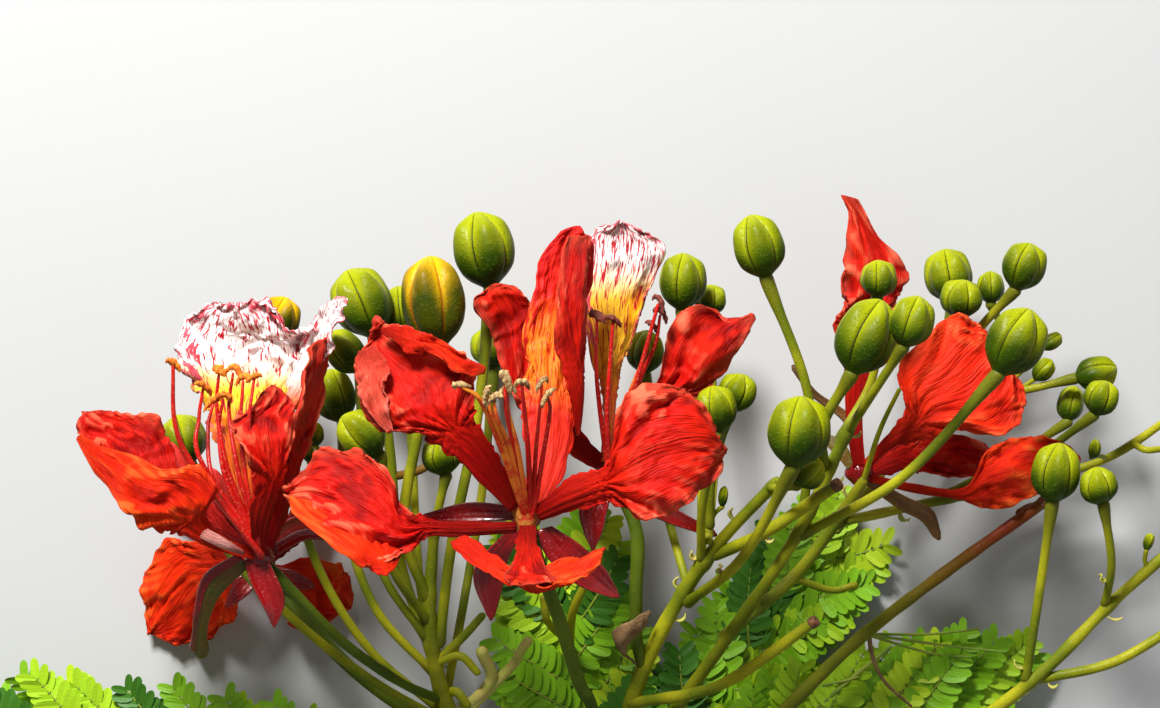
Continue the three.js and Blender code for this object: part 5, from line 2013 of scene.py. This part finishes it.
@dataclass
class Leaves(Maker):
    """Builds the twice-feathered leaves, full from every side, with sizes in mm and degrees.

    The side ribs stand between first and last, as shares of the midrib. The outline gives their
    reach there, as a share of the leaf's half width.
    """

    outline: tuple[tuple[float, float], ...] = (
        (0.0, 0.55), (0.12, 0.75), (0.3, 0.96), (0.55, 1.0), (0.78, 0.86), (0.92, 0.62), (1.0, 0.42))
    first: float = 0.12
    last: float = 0.94
    pinna_spacing: float = 6.2
    pinna_angle: float = 62.0
    pinna_points: int = 12
    leaflet_spacing: float = 2.4
    leaflet_length: float = 7.0
    leaflet_width: float = 3.2
    leaflet_angle: float = 68.0
    midrib_radius: float = 1.25
    pinna_radius: float = 0.45
    rib_sides: int = 7
    lowest: float = 1.2
    tone_shares: tuple[float, ...] = (0.38, 0.3, 0.2, 0.12)

    def build(self) -> None:
        """Makes all the leaves."""
        leaflets = LeafletGrower(self.leaflet_length, self.leaflet_width)
        for number, shape in enumerate(LEAF_SHAPES):
            self._leaf(shape, leaflets, draws(Stream.LEAF, number))
        leaflets.put_away()

    def _leaf(self, shape: LeafShape, leaflets: LeafletGrower, rng: Draws) -> None:
        """Makes one leaf: its ribs as one piece and its leaflets as another.

        Args:
            shape: the leaf's node, size and midrib.
            leaflets: what sets the leaflets.
            rng: the leaf's random numbers.
        """
        line = self.model.place(shape.course)
        midrib = Course(line, np.array([1.0, 0.45]) * self.midrib_radius).resampled(1.0)
        tangents = headings(midrib.points)
        pairs = int(steps_along(midrib.points).sum() * (self.last - self.first) / self.pinna_spacing)
        ribs = [midrib]
        sprays = []
        for k in range(pairs):
            share = self.first + (self.last - self.first) * (k + 0.5) / pairs
            spot = int(share * (len(midrib.points) - 1))
            reach = shape.half_width * np.interp(share, *zip(*self.outline))
            for side in (-1, 1):
                pinna = self._pinna(midrib.points[spot], tangents[spot], side, reach, share, rng)
                ribs.append(pinna)
                sprays.append(self._spray(pinna, rng))
        tone_of_spray = rng.choice(leaflets.TONES, len(sprays), p=self.tone_shares)
        places, turns, sizes = (np.concatenate(rows) for rows in zip(*sprays))
        tones = np.repeat(tone_of_spray, [len(spray[0]) for spray in sprays])
        greens = [self.finishes[f"leaflet_green_{k}"] for k in range(leaflets.TONES)]
        piece = leaflets.build(f"{shape.node}_leaflets", places, turns, sizes, tones, greens)
        self.settle(piece, Slot.LEAF, "leaflet_green_0", shape.node)
        self.grow_stalks(f"{shape.node}_ribs", ribs, self.rib_sides, Slot.LEAF, "rib_green", shape.node)

    def _pinna(
        self, foot: np.ndarray, ahead: np.ndarray, side: int, reach: float, share: float, rng: Draws
    ) -> Course:
        """A side rib of a leaf, which bows up from the midrib and forward to its tip.

        Args:
            foot: where it leaves the midrib.
            ahead: the midrib's direction there.
            side: 1 for the left side, -1 for the right.
            reach: how far it spreads from the midrib, in mm.
            share: how far along the leaf it is.
            rng: the leaf's random numbers.

        Returns:
            Its course.
        """
        flat = unit(np.array([ahead[0], ahead[1], 0.0]))
        out = np.array([-flat[1], flat[0], 0.0]) * side
        angle = math.radians(self.pinna_angle - 22 * share + rng.uniform(-6, 6))
        length = reach / math.sin(angle) * rng.uniform(0.9, 1.05)
        t = np.linspace(0, 1, self.pinna_points)[:, None]
        bend = math.radians(rng.uniform(6, 18))
        heading = angle - bend * t
        steps = (np.cos(heading) * flat + np.sin(heading) * out) * length / (self.pinna_points - 1)
        points = foot + np.cumsum(steps, axis=0) - steps[0]
        rise = rng.uniform(-2.0, 5.0)
        points[:, 2] += (rise * np.sin(math.pi * t * 0.75) + rng.uniform(-1.5, 1.5) * t)[:, 0]
        points[:, 2] = np.maximum(points[:, 2], self.lowest)
        return Course(points, np.array([1.0, 0.5]) * self.pinna_radius).resampled(1.4)

    def _spray(self, pinna: Course, rng: Draws) -> tuple[np.ndarray, np.ndarray, np.ndarray]:
        """Where a pinna's two rows of leaflets sit, how they are turned and how large they are."""
        steps = steps_along(pinna.points)
        total = steps.sum()
        count = max(4, int(total / self.leaflet_spacing))
        at = np.concatenate([[0], np.cumsum(steps)]) / total
        tangents = headings(pinna.points)
        places, turns, sizes = [], [], []
        roll = rng.uniform(-0.35, 0.35)
        for k in range(count):
            share = (k + 0.9) / count * 0.99
            foot, ahead = (
                np.array([np.interp(share, at, rows[:, axis]) for axis in range(3)])
                for rows in (pinna.points, tangents))
            heading = math.atan2(ahead[1], ahead[0])
            fullness = 0.72 + 0.42 * math.sin(math.pi * min(1, share * 0.8 + 0.15))
            size = fullness * rng.uniform(0.88, 1.08)
            for side in (-1, 1):
                spread = math.radians(self.leaflet_angle - 26 * share**3 + rng.uniform(-7, 7))
                pitch = rng.uniform(-0.28, 0.12) - ahead[2] * 0.3
                lean = roll + rng.uniform(-0.22, 0.22)
                turns.append((lean, pitch + 0.1 * side * roll, heading + side * spread))
                places.append(foot)
                sizes.append(size)
        return np.array(places), np.array(turns), np.array(sizes)


@dataclass
class WoodyStem(Maker):
    """Builds the woody stem with its bark relief and its flat cut end, with sizes in mm."""

    around: int = 120
    spacing: float = 0.55
    inset: float = 0.97
    top_taper: float = 0.55
    ridge_sets: int = 9
    ridge_height: float = 0.28
    wrinkle_height: float = 0.12
    lenticels: int = 220
    lenticel_height: float = 0.35
    leaf_scar_from: float = 14.0
    leaf_scar_spacing: float = 27.0
    mean_radius: float = 6.2

    def build(self) -> None:
        """Makes the stem and its cut face."""
        course = self.model.stem()
        course.radii[0] = course.radii[1]
        course.radii[-1] = course.radii[-2]
        keep = np.append(True, steps_along(course.points) > 0.5)
        fine = Course(course.points[keep], course.radii[keep]).resampled(self.spacing)
        radii = fine.radii[:, None] * self.inset + self._bark(len(fine.points), draws(Stream.STEM))
        radii[-1] *= self.top_taper
        piece = new_object("woody_stem_bark", tube(fine.points, radii, self.around))
        self.settle(piece, Slot.BARK, "bark_grey", "woody_stem")
        piece.data.materials.append(self.finishes["cut_wood"])
        foot = len(fine.points) * self.around
        for face in piece.data.polygons:
            if foot in face.vertices:
                face.material_index = 1
                face.use_smooth = False

    def _bark(self, rings: int, rng: Draws) -> np.ndarray:
        """The height of the bark over the stem: long shallow ridges, wrinkles, lenticels, leaf scars."""
        turn = turns_round(self.around)[None]
        along = (np.arange(rings) * self.spacing)[:, None]
        height = np.zeros((rings, self.around))
        for _ in range(self.ridge_sets):
            count = rng.integers(3, 16)
            drift = waves(rng, along * 0.12, 0.4, 1.6)
            height += self.ridge_height / 4 * np.sin(count * turn + drift * 1.5 + rng.uniform(0, 6.28))
        wander = 2 * waves(rng, turn * 3 + along * 0.05, 1, 3)
        height += self.wrinkle_height * np.sin(along * 1.9 + wander)
        for _ in range(self.lenticels):
            row = rng.uniform(0, along[-1, 0])
            aside = self._aside(turn, rng)
            spot = np.exp(-(((along - row) / 0.55) ** 2) - ((aside / rng.uniform(0.8, 1.5)) ** 2))
            height += self.lenticel_height * spot
        for row in np.arange(self.leaf_scar_from, along[-1, 0], self.leaf_scar_spacing):
            away = np.sqrt(((along - row) / 2.2) ** 2 + (self._aside(turn, rng) / 3.0) ** 2)
            height += 0.9 * np.exp(-((away - 0.8) ** 2) * 5) - 0.35 * np.exp(-(away**2) * 3)
        return height

    def _aside(self, turn: np.ndarray, rng: Draws) -> np.ndarray:
        """How far round the stem each column lies from a random one, in mm."""
        return np.angle(np.exp(1j * (turn - rng.uniform(0, WHOLE_TURN)))) * self.mean_radius


@dataclass(frozen=True)
class Twig:
    """A short bare piece: its name, its finish, its course and its radius at foot and tip in mm."""

    name: str
    finish: str
    places: tuple[Place, ...]
    radii: tuple[float, float]


@dataclass(frozen=True)
class SmallBud:
    """An unripe bud too small for a CAD node: its foot, its neck, its tip and half its width in mm."""

    name: str
    foot: Place
    neck: Place
    tip: Place
    half: float


TWIGS = (
    Twig("stub_left_slant", "stalk_green", ((441, 662, 34), (462, 638, 36), (482, 616, 37)), (1.3, 1.1)),
    Twig("stub_left_low", "stalk_green", ((446, 690, 30), (457, 692, 33), (467, 705, 34)), (1.4, 1.2)),
    Twig("stub_left_side", "stalk_green", ((441, 660, 34), (460, 656, 36), (477, 672, 36)), (1.3, 1.1)),
    Twig("stick_orange", "stalk_bronzed", ((404, 478, 36), (418, 471, 33), (434, 461, 32)), (1.2, 1.1)),
    Twig("stub_pale_left", "bract_pale", ((484, 700, 26), (490, 682, 32), (482, 652, 38)), (1.5, 1.7)),
    Twig(
        "stub_pale_right", "bract_pale", ((492, 703, 26), (510, 668, 32), (520, 652, 37), (528, 641, 40)),
        (1.5, 1.3)),
    Twig("side_stem_light", "stalk_green", ((545, 660, 24), (574, 608, 30), (600, 560, 34)), (1.3, 1.1)),
    Twig("side_stem_short", "stalk_green", ((553, 644, 24), (548, 622, 28), (543, 598, 31)), (1.1, 1.0)),
    Twig("stub_side", "stalk_green", ((800, 590, 32), (830, 590, 30), (855, 585, 30)), (1.1, 0.9)),
    Twig("stub_red_side", "stalk_bronzed", ((1037, 503, 34), (1029, 508, 36), (1020, 513, 37)), (1.3, 1.3)),
    Twig("style_right", "stalk_green", ((864, 466, 44), (880, 430, 52), (899, 390, 55)), (0.8, 0.6)),
    Twig("edge_side_stem", "stalk_green", ((1131, 449, 33), (1146, 450, 32), (1162, 449, 30)), (1.0, 0.9)),
    Twig(
        "twig_dry", "dry_brown", ((858, 620, 34), (873, 658, 30), (885, 682, 26), (911, 706, 20)),
        (0.7, 0.4)),
    Twig("rachis_bare", "rib_green", ((700, 835, 12), (800, 724, 17), (890, 647, 19)), (0.8, 0.6)),
    Twig("rachis_bare_high", "rib_green", ((890, 647, 19), (930, 634, 20), (979, 629, 20)), (0.45, 0.3)),
    Twig("rachis_bare_middle", "rib_green", ((890, 647, 19), (950, 646, 20), (1005, 652, 19)), (0.45, 0.3)),
    Twig("rachis_bare_low", "rib_green", ((890, 647, 19), (930, 653, 18), (970, 657, 18)), (0.45, 0.3)),
    Twig("rachis_bare_left", "rib_green", ((770, 750, 14), (800, 700, 18), (858, 677, 19)), (0.45, 0.3)),
)
SMALL_BUDS = (
    SmallBud("bud_small_left", (342, 500, 38), (316, 447, 40), (318, 423, 41), 2.3),
    SmallBud("bud_small_left_low", (345, 530, 38), (309, 463, 36), (310, 442, 37), 1.7),
    SmallBud("bud_small_right_high", (1000, 392, 24), (1040, 349, 28), (1061, 335, 28), 2.2),
    SmallBud("bud_small_right", (1010, 391, 24), (1034, 380, 26), (1052, 360, 28), 2.8),
    SmallBud("knob_unripe", (1104, 464, 36), (1091, 458, 39), (1095, 439, 41), 1.7),
    SmallBud("bud_tiny_middle", (716, 530, 50), (722, 508, 52), (725, 486, 53), 1.3),
    SmallBud("bud_tiny_edge", (1140, 560, 49), (1146, 552, 52), (1152, 534, 53), 1.4),
)
BRACTS_SEEN = (
    (681, 588), (694, 557), (691, 629), (721, 573), (733, 517), (1017, 670), (1099, 582), (1108, 617),
    (1052, 696), (847, 432), (850, 497), (899, 508), (436, 640), (446, 668), (427, 612), (452, 714),
    (770, 545), (826, 478))


@dataclass
class Extras(Maker):
    """Builds the small things on the stalks: stubs, twigs, buds, bracts and the dried leaf."""

    twig_sides: int = 14
    leaf_radii: tuple[float, float] = (1.2, 0.5)
    bronze: float = 0.9
    height_share: float = 0.1
    bract_length: float = 4.2
    bract_width: float = 2.6
    bract_thickness: float = 0.25
    bract_grid: tuple[int, int] = (5, 9)
    dried_left: tuple[Place, ...] = ((597, 660, 40), (612, 636, 44), (634, 618, 46), (650, 610, 46))
    dried_right: tuple[Place, ...] = ((603, 668, 40), (626, 650, 42), (642, 630, 43), (650, 616, 45))
    dried_grid: tuple[int, int] = (14, 24)
    dried_thickness: float = 0.35

    def __post_init__(self) -> None:
        """Gathers the middle lines that the small things can stand on."""
        courses = [self.model.course(name).resampled(1.0) for name in self.model.named("stalk_", "bud_")]
        for leaf in LEAF_SHAPES:
            courses.append(Course(self.model.place(leaf.course), np.array(self.leaf_radii)).resampled(1.0))
        self.line = np.vstack([course.points for course in courses])
        self.ahead = np.vstack([headings(course.points) for course in courses])
        self.reach = np.concatenate([course.radii for course in courses])

    def build(self, buds: Buds) -> None:
        """Makes them all.

        Args:
            buds: what makes the buds.
        """
        for twig in TWIGS:
            self._twig(twig)
        for number, bud in enumerate(SMALL_BUDS):
            foot, neck, tip = self.model.place((bud.foot, bud.neck, bud.tip))
            buds.small(bud.name, (self.line[self._nearest(foot)], neck, tip), bud.half, number)
        self._bracts()
        self._dried_leaf()

    def _twig(self, twig: Twig) -> None:
        """One twig, which starts at the stalk point nearest to its place."""
        line = self.model.place(twig.places)
        line[0] = self.line[self._nearest(line[0])]
        course = Course(line, np.array(twig.radii)).resampled(1.2)
        course.browned = self.bronze if twig.finish == "stalk_bronzed" else 0.0
        slot = Slot.LEAF if twig.finish == "rib_green" else Slot.STALK
        self.grow_stalks(twig.name, [course], self.twig_sides, slot, twig.finish)

    def _nearest(self, place: np.ndarray) -> int:
        """The number of the stalk point nearest to a place."""
        return int(np.argmin(np.linalg.norm(self.line - place, axis=1)))

    def _nearest_seen(self, x: float, y: float) -> int:
        """The number of the stalk point that looks nearest to a picture place from above."""
        rows = self.line - self.model.shift
        scale = pixel_scale(rows[:, 2])
        aside = rows[:, 0] / scale + PICTURE_SIZE[0] / 2 - x
        above = PICTURE_SIZE[1] / 2 - rows[:, 1] / scale - y
        return int(np.argmin(np.hypot(aside, above) - rows[:, 2] * self.height_share))

    def _bracts(self) -> None:
        """The curled pale scales where a stalk once bore a flower, as one piece."""
        rng = draws(Stream.BRACT)
        parts = [self._bract(number, x, y, rng) for number, (x, y) in enumerate(BRACTS_SEEN)]
        self.settle(new_object("bracts", joined(parts)), Slot.STALK, "bract_pale")

    def _bract(self, number: int, x: float, y: float, rng: Draws) -> Solid:
        """One bract, on the stalk point that looks nearest to a picture place.

        Args:
            number: the bract's number, which gives it a side where the place lies on the stalk.
            x: the picture place.
            y: the same, down the picture.
            rng: the bracts' random numbers.

        Returns:
            The corners and the faces.
        """
        spot = self._nearest_seen(x, y)
        foot, ahead = self.line[spot], self.ahead[spot]
        away = self.model.place([(x, y, (foot - self.model.shift)[2])])[0] - foot
        flat = np.array([-ahead[1], ahead[0], 0.0]) * (-1) ** number
        out = away if np.linalg.norm(away) > 0.8 else flat
        out = unit(out - ahead * np.dot(out, ahead))
        across = np.cross(ahead, out)
        t = np.linspace(0, 1, self.bract_grid[1])
        bend = rng.uniform(0.8, 1.5) * math.pi * t / 2
        length = self.bract_length * rng.uniform(0.7, 1.15)
        curl = np.sin(bend)[:, None] * out + (1 - np.cos(bend))[:, None] * ahead
        middle = foot + out * self.reach[spot] * 0.8 + length * curl / bend.max()
        half = (self.bract_width / 2 * np.sin(math.pi * (0.2 + 0.75 * t)) ** 0.8)[:, None, None]
        columns = np.linspace(-1, 1, self.bract_grid[0])[None, :, None]
        surface = middle[:, None] + half * columns * across + columns**2 * 0.5 * out * half
        normal = unit(np.cross(np.gradient(surface, axis=1), np.gradient(surface, axis=0)))
        return thick_sheet(surface, normal, self.bract_thickness)

    def _dried_leaf(self) -> None:
        """A curled dry leaf caught among the stalks."""
        left, right = self.model.place(self.dried_left), self.model.place(self.dried_right)
        left[0] = right[0] = self.line[self._nearest(left[0])]
        blade = Blade(left, right, *self.dried_grid)
        blade.lift(1.6 * (1 - (2 * blade.u - 1) ** 2) * np.sin(math.pi * blade.v))
        blade.lift(0.5 * waves(draws(Stream.DRIED_LEAF), blade.v * 14 + blade.u * 5, 0.6, 1.8))
        self.settle(blade.solid("leaf_dried", self.dried_thickness), Slot.LEAF, "dry_brown")


@dataclass(frozen=True)
class Studio:
    """The floor, the lights and the camera. The floor's sizes are in mm and the lamps' in metres."""

    model: Model
    floor_half: float = 3000.0
    floor_height: float = -0.4
    floor_colour: Colour = (0.5, 0.5, 0.49)
    sky_colour: Colour = (0.92, 0.96, 1.0)
    sky_strength: float = 0.22
    lamps: tuple[tuple[str, Place, float, float], ...] = (
        ("key", (-0.34, 0.95, 0.86), 0.3, 32.0), ("fill", (0.9, -0.5, 0.9), 1.2, 1.8))
    sensor_mm: float = 36.0

    def build(self) -> None:
        """Makes the floor, the lights and the camera."""
        self._floor()
        self._lights()
        self._camera()

    def _floor(self) -> None:
        """A plain pale floor just under the branch."""
        corners = np.array([[-1, -1, 0], [1, -1, 0], [1, 1, 0], [-1, 1, 0]]) * self.floor_half
        floor = new_object("floor", (corners + UP * self.floor_height, [[0, 1, 2, 3]]))
        paint = Surface("floor_paper", 0.2)
        paint.fill(paint.principled, {"Base Color": self.floor_colour, "Roughness": 0.7})
        floor.data.materials.append(paint.material)

    def _lights(self) -> None:
        """A soft key from the upper left, a wide fill, and an even surround."""
        world = bpy.data.worlds.new("surround")
        world.use_nodes = True
        sky = world.node_tree.nodes["Background"]
        sky.inputs["Color"].default_value = (*self.sky_colour, 1.0)
        sky.inputs["Strength"].default_value = self.sky_strength
        bpy.context.scene.world = world
        bpy.context.scene.view_settings.view_transform = "Standard"
        for name, place, size, power in self.lamps:
            light = bpy.data.lights.new(name, "AREA")
            light.size = size
            light.energy = power
            lamp = in_scene(name, light)
            lamp.location = place
            lamp.rotation_euler = lamp.location.to_track_quat("Z", "Y").to_euler()

    def _camera(self) -> None:
        """A camera straight above, which frames the branch as the picture does."""
        camera = bpy.data.cameras.new("camera")
        camera.sensor_width = self.sensor_mm
        camera.lens = self.sensor_mm * (EYE_HEIGHT - FOCUS_HEIGHT) / (PICTURE_SIZE[0] * MM_PER_PIXEL)
        holder = in_scene("camera", camera)
        x, y, z = self.model.shift
        holder.location = (x * MM, y * MM, (EYE_HEIGHT + z) * MM)
        bpy.context.scene.camera = holder


def load_model() -> Model:
    """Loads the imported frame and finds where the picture's middle lies in it."""
    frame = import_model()
    model = Model(frame["nodes"])
    model.shift = model.stem().points[0] - seen([CUT_END_SEEN])[0]
    log.info("shift %s mm", np.round(model.shift, 2).tolist())
    return model


def main() -> None:
    """Builds the branch and its surroundings."""
    logging.basicConfig(level=logging.INFO, format="%(name)s: %(message)s")
    model = load_model()
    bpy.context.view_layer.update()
    kit = (model, make_finishes(), TubeGrower())
    Stalks(*kit).build()
    buds = Buds(*kit)
    buds.build()
    blooms = Blooms(*kit)
    for number, shape in enumerate(BLOOM_SHAPES):
        blooms.build(shape, number)
    Leaves(*kit).build()
    WoodyStem(*kit).build()
    Extras(*kit).build(buds)
    Studio(model).build()


if __name__ == "__main__":
    main()
